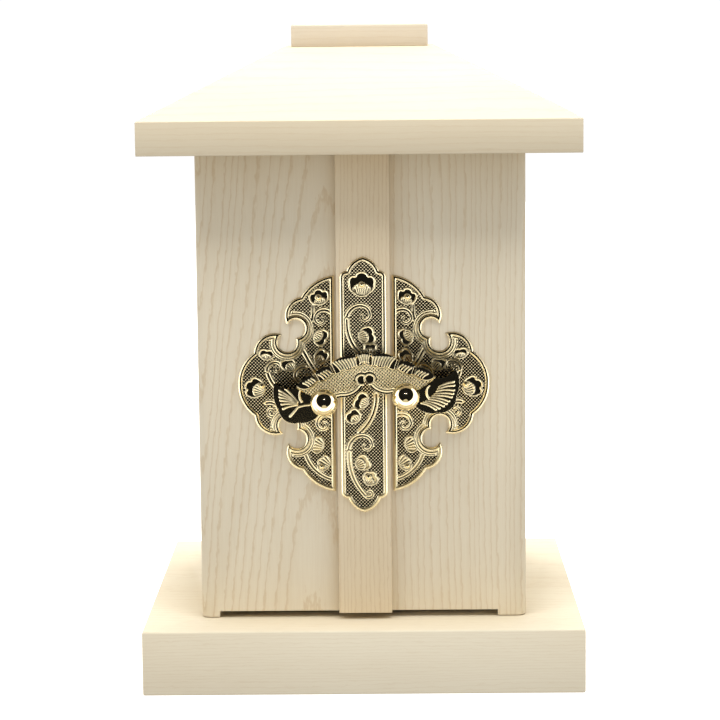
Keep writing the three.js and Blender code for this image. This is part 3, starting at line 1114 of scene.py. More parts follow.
def mirrored_motif(motif: Vine | Leaf) -> Vine | Leaf:
    """Mirrors a motif from the right-hand plate to the left-hand one.

    Args:
        motif: The motif.

    Returns:
        Its mirror image.
    """
    if isinstance(motif, Vine):
        return replace(motif, path=motif.path * (-1, 1))
    u, w = motif.centre
    return replace(motif, centre=(-u, w), tilt=-motif.tilt)


# The clasp


CREST_TOP = [
    [0, 14.3], [2.1, 13.5], [4.4, 12.9], [9.8, 12.5], [13.9, 9.2], [17.8, 8.8], [20.7, 6.3],
    [25.2, 5], [28.1, 1.6],
]
WING_EDGE = [
    [28.1, 1.6], [32.8, 1.4], [36.8, 4.3], [37.9, -1.8], [36.3, -6.8], [34.2, -11.5], [28.4, -13],
    [23.9, -12.8], [19, -9.2],
]
WING_ROOT = [[19, -9.2], [20, -3.5], [24.5, -1], [28.1, 1.6]]
BAND_FOOT = [[19, -9.2], [14.6, -5.2], [10.4, -3.9], [5, -3.1], [0.2, 2.2]]
CREST_FOOT = [
    [28.1, 1.6], [24.6, 0.4], [20.2, 3.1], [17, 3.5], [13.4, 6], [11.1, 5.9], [8.8, 7.4], [6.6, 6.9],
    [4.4, 8.2], [2.2, 8], [0, 9.6],
]
# The cuts between the right half's leaves, each from its top to its foot.
CREST_CUTS = (((2.9, 13.6), (2.3, 8.0)), ((13.7, 9.6), (12.4, 6.2)), ((20.6, 6.5), (19.0, 3.0)))
# Rows of feathers: how many, the first one's foot, the step to the next foot, the first one's tip, the step
# to the next tip, and how much the tips droop with the square of their distance from the middle.
FEATHER_ROWS = (
    (3, (0.15, 10.4), (0.75, -0.35), (0.35, 13.1), (0.95, -0.3), 0.0),
    (8, (3.2, 8.9), (0.95, -0.22), (3.9, 12.1), (1.22, 0.0), 0.008),
    (4, (13.9, 6.6), (0.95, -0.75), (15.4, 7.9), (1.15, -0.5), 0.0),
    (4, (20.3, 3.5), (0.95, -0.55), (21.8, 5.0), (1.15, -0.55), 0.0),
)


@dataclass
class Clasp:
    """The butterfly that laps the three plates: a stippled band, a feathered crest and two wings.

    Attributes:
        back: The y of its back.
        wing_back: The y of the wings' backs, which stand close to the side plates.
        step: The relief grid's step.
        crest_rise: How far the crest stands above the band.
        wing_rise: How far the wings stand above the band.
        step_width: How wide the steep steps up to the crest and the wings are.
        punch: The punch of the band.
        satin_from: The height from which the band's grains are satin-bright.
        margin: How wide the smooth margin along the band's foot is.
        foot_line: The line along that foot.
        curl_centre: Where the right one of the two curls over the cusp is.
        curl_ring: The ring of a curl.
        curl_ground: The radius of the smooth ground under a curl.
        curl_foot: How far below a curl's centre that ground goes.
        curl_eye: The radius of the smooth eye in it.
        cut_reach: How far from its middle a cut between the crest's leaves goes.
        cut_floor: The height of a cut's bottom, as a share of the crest's.
        cut_slope: How steeply a cut's flanks rise from there.
        feather_widths: Half a feather line's width at its foot and at its tip.
        feather_height: A feather line's height over the crest.
        rib_widths: Half a rib's width at its heel and at its tip.
        rib_height: A rib's height over the wing.
        core_step: The grid step of the blocks behind the wings.
        core_inset: How far those blocks stay inside the wings' outlines.
    """

    back: float
    wing_back: float
    step: float = 0.13
    crest_rise: float = 1.1
    wing_rise: float = 0.5
    step_width: float = 0.3
    punch: Punch = Punch(0.62, 0.55)
    satin_from: float = 0.16
    margin: float = 2.1
    foot_line: Line = Line(1.35, 0.42, 0.38)
    curl_centre: tuple[float, float] = (1.65, 2.9)
    curl_ring: Line = Line(2.05, 0.45, 0.42)
    curl_ground: float = 3.1
    curl_foot: float = 1.0
    curl_eye: float = 1.4
    cut_reach: float = 0.5
    cut_floor: float = 0.35
    cut_slope: float = 1.2
    feather_widths: tuple[float, float] = (0.2, 0.42)
    feather_height: float = 0.38
    rib_widths: tuple[float, float] = (0.28, 0.5)
    rib_height: float = 0.45
    core_step: float = 0.4
    core_inset: float = 0.45

    def outline(self) -> Points:
        """Gives the whole outline.

        Returns:
            The outline's corners.
        """
        runs = [arcs(corners)[:-1] for corners in (CREST_TOP, WING_EDGE, BAND_FOOT)]
        right = np.vstack((*runs, BAND_FOOT[-1]))
        return np.vstack((right, mirrored_u(right)[:-1]))

    def crest_outline(self) -> Points:
        """Gives the crest and its side leaves, scalloped along their lower edge."""
        right = np.vstack((arcs(CREST_TOP)[:-1], arcs(CREST_FOOT)))
        return np.vstack((right, mirrored_u(right)[1:-1]))

    def wing_outline(self) -> Points:
        """Gives the right wing's outline."""
        return np.vstack((arcs(WING_EDGE)[:-1], WING_ROOT[:-1]))

    def build(self, finish: "GoldPlate") -> None:
        """Builds the clasp.

        Args:
            finish: Its finish.
        """
        relief = Relief(self.outline(), self.step, CLASP_SHEET)
        self.punch.cover(relief)
        relief.matting_and_shade = np.where(relief.height > self.satin_from, Surface.SATIN.value, relief.matting_and_shade)
        self.add_band_foot(relief)
        self.add_wings(relief)
        self.add_crest(relief)
        mesh = relief.mesh("clasp_chased", on_clasp(self.back))
        finish.dress(add_piece(mesh, "clasp_chased", Body.RIGHT_DOOR, Slot.GILT, ["clasp"]))
        self.add_stand_offs(finish)

    def add_band_foot(self, relief: Relief) -> None:
        """Edges the band: a flat margin, a line along its foot, and the double curl over the cusp.

        Args:
            relief: The clasp's relief.
        """
        where = relief.margin(self.margin)
        relief.cover(where, self.foot_line.over(relief.inside[where]))
        u, w = self.curl_centre
        centres = [(side.value * u, w) for side in Side]
        for centre in centres:
            where, _ = relief.within(centre, self.curl_ground)
            where = where[relief.points[where, 1] > w - self.curl_foot]
            relief.cover(where, np.zeros(len(where)))
        for centre in centres:
            Collar(centre, self.curl_ring).carve(relief)
            where, _ = relief.within(centre, self.curl_eye)
            relief.cover(where, np.zeros(len(where)))

    def add_crest(self, relief: Relief) -> None:
        """Raises the crest and its side leaves and feathers them.

        Args:
            relief: The clasp's relief.
        """
        depth = inwards(relief.points, self.crest_outline())
        on = np.nonzero(depth > -relief.step)[0]
        foot = arcs(CREST_FOOT)
        whole_foot = np.vstack((foot, mirrored_u(foot)[1:]))
        from_foot, _ = path_distance(relief.points[on], whole_foot)
        rise = smooth(np.where(depth[on] > 0, from_foot, 0.0), 0.0, self.step_width)
        relief.cover(on, self.crest_rise * rise)
        relief.matting_and_shade[on] = Surface.MIRROR.value
        for side in Side:
            for cut in CREST_CUTS:
                self.add_cut(relief, np.array(cut) * (side.value, 1))
            for feather in self.feathers():
                path = feather * (side.value, 1)
                Stroke(path, *self.feather_widths, self.feather_height, self.crest_rise).carve(relief)

    def add_cut(self, relief: Relief, ends: Points) -> None:
        """Sinks a short cut between two of the crest's leaves.

        Args:
            relief: The clasp's relief.
            ends: The cut's two ends.
        """
        where = relief.near(ends, self.cut_reach)
        distance, _ = path_distance(relief.points[where], ends)
        close = distance < self.cut_reach
        floor = self.crest_rise * (self.cut_floor + self.cut_slope * distance[close])
        relief.height[where[close]] = np.minimum(relief.height[where[close]], floor)

    def feathers(self) -> list[Points]:
        """Gives the right half's feather lines from foot to tip, each bent a little outwards.

        Returns:
            The path of each line.
        """
        ends = []
        for count, foot, foot_step, tip, tip_step, droop in FEATHER_ROWS:
            for i in range(count):
                heel = np.array(foot) + np.array(foot_step) * i
                point = np.array(tip) + np.array(tip_step) * i
                ends.append((heel, point - (0.0, droop * point[0] ** 2)))
        return [arcs([heel, (heel + tip) / 2 + (-0.12, 0.2), tip]) for heel, tip in ends]

    def add_wings(self, relief: Relief) -> None:
        """Raises the wings, flat and smooth, and ribs them like fans.

        Args:
            relief: The clasp's relief.
        """
        right = self.wing_outline()
        for side in Side:
            outline = right if side is Side.RIGHT else mirrored_u(right)
            depth = inwards(relief.points, outline)
            on = np.nonzero(depth > 0)[0]
            from_root, _ = path_distance(relief.points[on], np.array(WING_ROOT) * (side.value, 1))
            relief.cover(on, self.wing_rise * smooth(from_root, 0.0, self.step_width))
            relief.matting_and_shade[on] = Surface.MIRROR.value
            ribs = self.right_ribs() if side is Side.RIGHT else self.left_ribs()
            for rib in ribs:
                Stroke(rib, *self.rib_widths, self.rib_height, self.wing_rise).carve(relief)

    def right_ribs(self) -> list[Points]:
        """Gives the right wing's ribs: they leave a slanting line and bend down to the wing's edge.

        Returns:
            The path of each rib.
        """
        heels = arcs([[29.5, -2.4], [26.4, -6.1], [21.9, -8.5]])
        tips = arcs([[35.6, -0.7], [34.1, -7.2], [27.6, -11.5]])
        ribs = []
        for t in np.linspace(0.0, 1.0, 10):
            heel = heels[round(t * (len(heels) - 1))]
            tip = tips[round(t * (len(tips) - 1))]
            middle = (heel + tip) / 2 + (0.15, 0.45)
            ribs.append(arcs([heel, middle, tip]))
        ribs.append(arcs([[25.6, -1.7], [24.4, -3.6], [25.0, -6.5]]))
        return ribs

    def left_ribs(self) -> list[Points]:
        """Gives the left wing's ribs: they fan out from one root, and the lowest is a leaf's midrib.

        Returns:
            The path of each rib.
        """
        root = np.array((27.4, -5.4))
        tips = [
            (32.8, 1.6), (35.2, 1.0), (35.2, -0.4), (35.3, -1.7), (35.1, -3.1), (34.7, -4.7), (34.3, -6.6),
        ]
        ribs = []
        for tip in tips:
            heel = root + 0.15 * (np.array(tip) - root)
            middle = (heel + tip) / 2 + (0.0, 0.35)
            ribs.append(arcs([heel, middle, tip]) * (-1, 1))
        ribs.append(np.array([[22.5, -5.8], [25.7, -5.9], [28.1, -6.3], [31.7, -9.9]]) * (-1, 1))
        ribs.append(arcs([[26.2, 1.1], [27.3, -1.6], [26.6, -4.2]]) * (-1, 1))
        return ribs

    def add_stand_offs(self, finish: "GoldPlate") -> None:
        """Fills the step behind each wing, down to the side plates.

        Args:
            finish: Their finish.
        """
        right = self.wing_outline()
        for side in Side:
            outline = right if side is Side.RIGHT else mirrored_u(right)
            relief = Relief(outline, self.core_step, self.wing_back - self.back)
            relief.inside = relief.inside - self.core_inset
            name = f"wing_{side.name.lower()}_core"
            mesh = relief.mesh(name, on_clasp(self.wing_back))
            finish.dress(add_piece(mesh, name, Body.RIGHT_DOOR, Slot.GILT, []))


@dataclass
class BallPin:
    """A mirror-bright ball on a small collar, with a shank through the clasp.

    Attributes:
        side: The side that it stands on.
        clasp_back: The y of the clasp's back.
        ball: The ball's radius.
        shank: The shank's radius.
        collar: The collar's radius.
        collar_rise: The collar's height.
        bevel: The bevel of the collar's upper edge.
        neck: The radius at which the ball meets the collar.
        spread: How far each pin stands from the middle between the two.
        middle: The u coordinate of that middle.
        level: The pins' w coordinate.
        sides: How many sides its round has.
    """

    side: Side
    clasp_back: float
    ball: float = 5.6
    shank: float = 1.4
    collar: float = 2.6
    collar_rise: float = 0.9
    bevel: float = 0.2
    neck: float = 2.1
    spread: float = 16.6
    middle: float = -0.8
    level: float = -4.6
    sides: int = 96

    def build(self, finish: "GoldPlate") -> None:
        """Builds the pin.

        Args:
            finish: Its finish.
        """
        foot = CLASP_SHEET + CLASP_GAP
        centre = foot + self.collar_rise + math.sqrt(self.ball**2 - self.neck**2)
        start = -math.acos(self.neck / self.ball)
        angle = np.linspace(start, math.pi / 2, 40)
        ball = np.column_stack((self.ball * np.cos(angle), centre + self.ball * np.sin(angle)))
        profile = np.vstack((
            (0.0, foot - CLASP_SHEET),
            (self.shank, foot - CLASP_SHEET),
            (self.shank, foot),
            (self.collar, foot),
            (self.collar, foot + self.collar_rise - self.bevel),
            (self.collar - self.bevel, foot + self.collar_rise),
            (self.neck, foot + self.collar_rise),
            ball[1:],
        ))
        name = f"pin_{self.side.name.lower()}"
        spot = (self.middle + self.side.value * self.spread, self.level)
        place = on_clasp(self.clasp_back)
        mesh = turned(f"{name}_ball", profile, spot, place, self.sides, math.radians(40))
        finish.dress(add_piece(mesh, f"{name}_ball", Body.RIGHT_DOOR, Slot.GILT, [name]))


# Finishes


@dataclass(frozen=True)
class GoldPlate:
    """Gold-plated pressed brass: a thin bright plating over a die-struck sheet.

    It gives the eye a pale yellow mirror. Polished flats show what stands before them, struck lines have a
    softer shine, and the pits of the punched ground are painted nearly black as shade.

    Attributes:
        name: The material's name.
        colour: The plating's colour.
        tarnish: The colour of the faint clouds on it.
        pit: The painted shade in the pits of the punched ground: a near-black colour that stands in for the
            shade among the grains.
        roughness: The mirror-bright plating's roughness.
        dulling: How much roughness a spot of the pitted ground or a satin spot adds; struck lines have half
            of it.
        cloud_size: The size of the clouds, in millimetres.
        cloud_dulling: How much roughness they add.
    """

    name: str = "Gold-plated pressed brass"
    colour: str = "#FDF0CC"
    tarnish: str = "#F7E6B9"
    # Painted shade: a near-black colour for the shade in the punched ground's pits.
    pit: str = "#120E06"
    roughness: float = 0.05
    dulling: float = 0.48
    cloud_size: float = 6.0
    cloud_dulling: float = 0.03

    def material(self) -> bpy.types.Material:
        """Makes the material, once.

        Returns:
            The material.
        """
        found = bpy.data.materials.get(self.name)
        if found:
            return found
        material = bpy.data.materials.new(self.name)
        material.use_nodes = True
        tree = material.node_tree
        tree.nodes.clear()
        place = add_node(tree, "ShaderNodeTexCoord").outputs["Object"]
        cloud = add_node(tree, "ShaderNodeTexNoise", {},
                         {"Vector": place, "Scale": 1 / (self.cloud_size * MM), "Detail": 3.0})
        matting_and_shade = add_node(tree, "ShaderNodeAttribute", {"attribute_name": "matting_and_shade"}).outputs["Fac"]
        # Painted shade: the pits are mixed toward the near-black pit colour, for the shade among the
        # grains.
        pit = add_node(tree, "ShaderNodeMapRange", {"interpolation_type": "SMOOTHSTEP"},
                       {0: matting_and_shade, 1: Surface.STRUCK.value, 2: Surface.PIT.value}).outputs[0]
        clouded = add_node(tree, "ShaderNodeMix", {"data_type": "RGBA"}, {
            0: cloud.outputs["Fac"], 6: linear(self.colour), 7: linear(self.tarnish),
        }).outputs[2]
        colour = add_node(tree, "ShaderNodeMix", {"data_type": "RGBA"},
                          {0: pit, 6: clouded, 7: linear(self.pit)}).outputs[2]
        dulling = add_node(tree, "ShaderNodeMath", {"operation": "ABSOLUTE"}, {0: matting_and_shade}).outputs[0]
        struck = add_node(tree, "ShaderNodeMath", {"operation": "MULTIPLY_ADD"},
                          {0: dulling, 1: self.dulling, 2: self.roughness}).outputs[0]
        rough = add_node(tree, "ShaderNodeMath", {"operation": "MULTIPLY_ADD"},
                         {0: cloud.outputs["Fac"], 1: self.cloud_dulling, 2: struck}).outputs[0]
        shader = add_node(tree, "ShaderNodeBsdfPrincipled", {},
                          {"Base Color": colour, "Roughness": rough, "Metallic": 1.0})
        add_node(tree, "ShaderNodeOutputMaterial", {}, {"Surface": shader.outputs[0]})
        return material

    def dress(self, piece: bpy.types.Object) -> None:
        """Gives a piece this finish."""
        piece.data.materials.clear()
        piece.data.materials.append(self.material())


@dataclass(frozen=True)
class Hinoki:
    """Planed Japanese cypress: pale straw-coloured softwood with fine, even rings, left unfinished.

    It gives the eye a warm cream with thin honey-coloured latewood lines, a faint silky sheen and no gloss.

    Attributes:
        board: The board's name.
        grain: The direction of its fibres.
        pith: How far the tree's pith lies from the object's axis, across the fibres, in millimetres.
        lean: How far the pith leans from the board's length, in degrees about its two cross axes.
        ring: The width of a year ring, in millimetres.
        early: The colour of the soft early wood.
        late: The colour of the latewood lines.
        contrast: How strongly the lines show.
        roughness: The early wood's roughness between the fibres.
        fibre_roughness: How much roughness the fibres add.
        line_relief: How far the latewood lines stand out, as a share of the fibres' relief.
        line_curve: Where along a year ring the latewood line swells and fades: places and strengths.
    """

    board: str
    grain: Grain
    pith: tuple[float, float]
    lean: tuple[float, float] = (0.0, 0.0)
    ring: float = 3.0
    early: str = "#EBE0C8"
    late: str = "#C6A878"
    contrast: float = 0.42
    roughness: float = 0.56
    fibre_roughness: float = 0.12
    line_relief: float = 0.4
    line_curve: tuple[tuple[float, float], ...] = (
        (0.0, 0.1), (0.4, 0.05), (0.72, 0.22), (0.88, 1.0), (0.93, 0.8), (1.0, 0.1),
    )

    def material(self) -> bpy.types.Material:
        """Makes the board's material.

        Returns:
            The material.
        """
        material = bpy.data.materials.new(f"Planed hinoki, {self.board}")
        material.use_nodes = True
        tree = material.node_tree
        tree.nodes.clear()
        place = add_node(tree, "ShaderNodeTexCoord").outputs["Object"]
        turned_place = add_node(tree, "ShaderNodeMapping", {"vector_type": "POINT"},
                                {"Vector": place, "Rotation": self.grain.value}).outputs[0]
        turn = (math.radians(self.lean[0]), math.radians(self.lean[1]), 0.0)
        shift = (-self.pith[0] * MM, -self.pith[1] * MM, 0.0)
        axis = add_node(tree, "ShaderNodeMapping", {"vector_type": "POINT"},
                        {"Vector": turned_place, "Rotation": turn, "Location": shift}).outputs[0]
        late = self.latewood(tree, self.radius(tree, axis))
        # Real fibres are 0.03 mm thick; bundles 0.5 mm across and 14 mm long show at a step's distance.
        fibre = self.streaks(tree, turned_place, 0.5, 14.0, 3.0)
        colour = self.colour(tree, turned_place, late, fibre)
        height = add_node(tree, "ShaderNodeMath", {"operation": "MULTIPLY_ADD"},
                          {0: late, 1: self.line_relief, 2: fibre}).outputs[0]
        bump = add_node(tree, "ShaderNodeBump", {},
                        {"Strength": 0.12, "Distance": 0.1 * MM, "Height": height})
        rough = add_node(tree, "ShaderNodeMath", {"operation": "MULTIPLY_ADD"},
                         {0: fibre, 1: self.fibre_roughness, 2: self.roughness}).outputs[0]
        shader = add_node(tree, "ShaderNodeBsdfPrincipled", {}, {
            "Base Color": colour, "Roughness": rough, "Normal": bump.outputs[0], "IOR": 1.5,
            "Specular IOR Level": 0.2,
        })
        add_node(tree, "ShaderNodeOutputMaterial", {}, {"Surface": shader.outputs[0]})
        return material

    def streaks(self, tree: bpy.types.NodeTree, place: bpy.types.NodeSocket, across: float, along: float,
                detail: float) -> bpy.types.NodeSocket:
        """Makes uneven streaks along the wood.

        Args:
            tree: The material's nodes.
            place: Coordinates with the wood's length along the third axis.
            across: How wide the streaks are, in millimetres.
            along: How long they are, in millimetres.
            detail: How many finer layers they have.

        Returns:
            0 to 1, about 0.5 on average.
        """
        scale = (1 / (across * MM), 1 / (across * MM), 1 / (along * MM))
        stretch = add_node(tree, "ShaderNodeVectorMath", {"operation": "MULTIPLY"},
                           {0: place, 1: scale}).outputs[0]
        noise = add_node(tree, "ShaderNodeTexNoise", {},
                         {"Vector": stretch, "Scale": 1.0, "Detail": detail})
        return noise.outputs["Fac"]

    def radius(self, tree: bpy.types.NodeTree, axis: bpy.types.NodeSocket) -> bpy.types.NodeSocket:
        """Measures the distance from the pith, wavered as a tree's growth is.

        Args:
            tree: The material's nodes.
            axis: Coordinates with the pith along the third axis.

        Returns:
            The distance in ring widths.
        """
        split = add_node(tree, "ShaderNodeSeparateXYZ", {}, {0: axis})
        across = add_node(tree, "ShaderNodeCombineXYZ", {},
                          {0: split.outputs[0], 1: split.outputs[1]}).outputs[0]
        distance = add_node(tree, "ShaderNodeVectorMath", {"operation": "LENGTH"},
                            {0: across}).outputs["Value"]
        # Ring widths change from year to year, over some 9 mm, by the distance from the pith alone.
        year = add_node(tree, "ShaderNodeTexNoise", {"noise_dimensions": "1D"},
                        {"W": distance, "Scale": 1 / (9 * MM), "Detail": 1.0}).outputs["Fac"]
        for pattern, shift in (
            # Growth wavers over some 40 mm across and 250 mm along the trunk, by up to 9 mm.
            (self.streaks(tree, axis, 40.0, 250.0, 2.0), 9.0),
            (year, 4.0),
            # The lines are ragged at the scale of the fibres, in jags some 5 mm long.
            (self.streaks(tree, axis, 1.2, 5.0, 2.0), 1.3),
        ):
            distance = add_node(tree, "ShaderNodeMath", {"operation": "MULTIPLY_ADD"},
                                {0: pattern, 1: shift * MM, 2: distance}).outputs[0]
        return add_node(tree, "ShaderNodeMath", {"operation": "DIVIDE"},
                        {0: distance, 1: self.ring * MM}).outputs[0]

    def latewood(self, tree: bpy.types.NodeTree, radius: bpy.types.NodeSocket) -> bpy.types.NodeSocket:
        """Turns the distance from the pith to latewood lines, soft on the inner side and crisp outside.

        Args:
            tree: The material's nodes.
            radius: The distance in ring widths.

        Returns:
            0 in early wood and 1 on a line.
        """
        phase = add_node(tree, "ShaderNodeMath", {"operation": "FRACT"}, {0: radius}).outputs[0]
        ramp = add_node(tree, "ShaderNodeValToRGB", {}, {0: phase})
        band = ramp.color_ramp
        band.interpolation = "EASE"
        for position, _ in self.line_curve[1:-1]:
            band.elements.new(position)
        for element, (_, strength) in zip(band.elements, self.line_curve):
            element.color = (strength, strength, strength, 1.0)
        return ramp.outputs[0]

    def colour(self, tree: bpy.types.NodeTree, place: bpy.types.NodeSocket, late: bpy.types.NodeSocket,
               fibre: bpy.types.NodeSocket) -> bpy.types.NodeSocket:
        """Mixes the board's colour.

        Args:
            tree: The material's nodes.
            place: Coordinates with the fibres along the third axis.
            late: The latewood lines.
            fibre: The fibres.

        Returns:
            The colour.
        """
        # The wood's tone changes softly over some 30 mm across and 140 mm along the board.
        tone = self.streaks(tree, place, 30.0, 140.0, 2.0)
        share = add_node(tree, "ShaderNodeMath", {"operation": "MULTIPLY"},
                         {0: late, 1: self.contrast}).outputs[0]
        for pattern, strength in ((fibre, 0.22), (tone, 0.3)):
            share = add_node(tree, "ShaderNodeMath", {"operation": "MULTIPLY_ADD"},
                             {0: pattern, 1: strength, 2: share}).outputs[0]
        # What the two patterns add on average is taken off again, for the most part.
        share = add_node(tree, "ShaderNodeMath", {"operation": "SUBTRACT", "use_clamp": True},
                         {0: share, 1: 0.2}).outputs[0]
        return add_node(tree, "ShaderNodeMix", {"data_type": "RGBA"},
                        {0: share, 6: linear(self.early), 7: linear(self.late)}).outputs[2]

    def dress(self, piece: bpy.types.Object) -> None:
        """Gives a piece this finish."""
        piece.data.materials.clear()
        piece.data.materials.append(self.material())


# The woodwork


@dataclass
class Board:
    """A planed board with softened arrises.

    Attributes:
        node: The solid that it stands for.
        name: The piece's name.
        body: The body that it rides on.
        finish: Its wood.
        arris: How far its arrises are eased, in millimetres.
        sharp: The angle above which an edge is an arris.
        crease: The angle above which an edge stays sharp in the shading.
    """

    node: str
    name: str
    body: Body
    finish: Hinoki
    arris: float = 0.3
    sharp: float = math.radians(30)
    crease: float = math.radians(32)

    def build(self) -> None:
        """Builds the board and dresses it."""
        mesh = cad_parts[self.node].data.copy()
        mesh.name = self.name
        work = bmesh.new()
        work.from_mesh(mesh)
        bmesh.ops.remove_doubles(work, verts=work.verts, dist=1e-6)
        bmesh.ops.dissolve_limit(work, angle_limit=math.radians(1), verts=work.verts, edges=work.edges)
        arrises = [edge for edge in work.edges
                   if edge.is_manifold and edge.calc_face_angle(0.0) > self.sharp]
        bmesh.ops.bevel(work, geom=arrises, offset=self.arris * MM, segments=2, profile=0.5,
                        affect="EDGES", clamp_overlap=True)
        work.to_mesh(mesh)
        work.free()
        mesh.polygons.foreach_set("use_smooth", np.ones(len(mesh.polygons), bool))
        mesh.set_sharp_from_angle(angle=self.crease)
        mesh.update()
        self.finish.dress(add_piece(mesh, self.name, self.body, Slot.HINOKI, [self.node]))


def boards() -> list[Board]:
    """Gives the cabinet's boards, each with a grain of its own.

    Returns:
        The boards.
    """
    return [
        Board("plinth", "plinth_board", Body.CABINET,
              Hinoki("plinth", Grain.ACROSS, (-220.0, 30.0), ring=1.2, contrast=0.13, early="#F1E6CD")),
        Board("wall_left", "wall_left_board", Body.CABINET,
              Hinoki("left wall", Grain.UPRIGHT, (-20.0, -60.0))),
        Board("wall_right", "wall_right_board", Body.CABINET,
              Hinoki("right wall", Grain.UPRIGHT, (30.0, 40.0))),
        Board("wall_back", "wall_back_board", Body.CABINET,
              Hinoki("back wall", Grain.UPRIGHT, (10.0, 110.0))),
        Board("roof", "roof_block", Body.CABINET,
              Hinoki("roof", Grain.ACROSS, (-300.0, 10.0), ring=2.2, contrast=0.14, early="#E2D5BA")),
        Board("roof_cap", "roof_cap_block", Body.CABINET,
              Hinoki("roof cap", Grain.ACROSS, (-330.0, -20.0), ring=2.0, contrast=0.14, early="#E5D9C4")),
        Board("door_left", "door_left_leaf", Body.LEFT_DOOR,
              Hinoki("left leaf", Grain.UPRIGHT, (-16.0, -24.0), lean=(3.0, -2.0), ring=2.2,
                     contrast=0.35)),
        Board("door_right", "door_right_leaf", Body.RIGHT_DOOR,
              Hinoki("right leaf", Grain.UPRIGHT, (-40.0, -10.0), ring=2.2, contrast=0.3)),
        Board("door_batten", "door_batten_strip", Body.RIGHT_DOOR,
              Hinoki("batten", Grain.UPRIGHT, (60.0, -60.0), ring=1.9, contrast=0.3,
                     early="#E8D8BA", late="#C4A577")),
    ]


# The studio


@dataclass(frozen=True)
class Lamp:
    """A rectangular lamp that points at the cabinet's middle.

    Attributes:
        name: Its name.
        place: Where it hangs, in metres.
        size: Its width and height, in metres.
        power: Its power, in watts.
        spark: Whether it is a small one for the ball pins: they alone are lit by it, and they mirror it.
    """

    name: str
    place: tuple[float, float, float]
    size: tuple[float, float]
    power: float
    spark: bool = False

    def build(self, balls: bpy.types.Collection) -> None:
        """Hangs the lamp.

        Args:
            balls: The pieces that a spark lights.
        """
        data = bpy.data.lights.new(self.name, "AREA")
        data.shape = "RECTANGLE"
        data.size, data.size_y = self.size
        data.energy = self.power
        light = bpy.data.objects.new(self.name, data)
        light.location = self.place
        aim = Vector((0.0, 0.0, 0.13)) - Vector(self.place)
        light.rotation_euler = aim.to_track_quat("-Z", "Y").to_euler()
        light.visible_glossy = self.spark
        light.visible_camera = False
        bpy.context.scene.collection.objects.link(light)
        if self.spark:
            light.light_linking.receiver_collection = balls


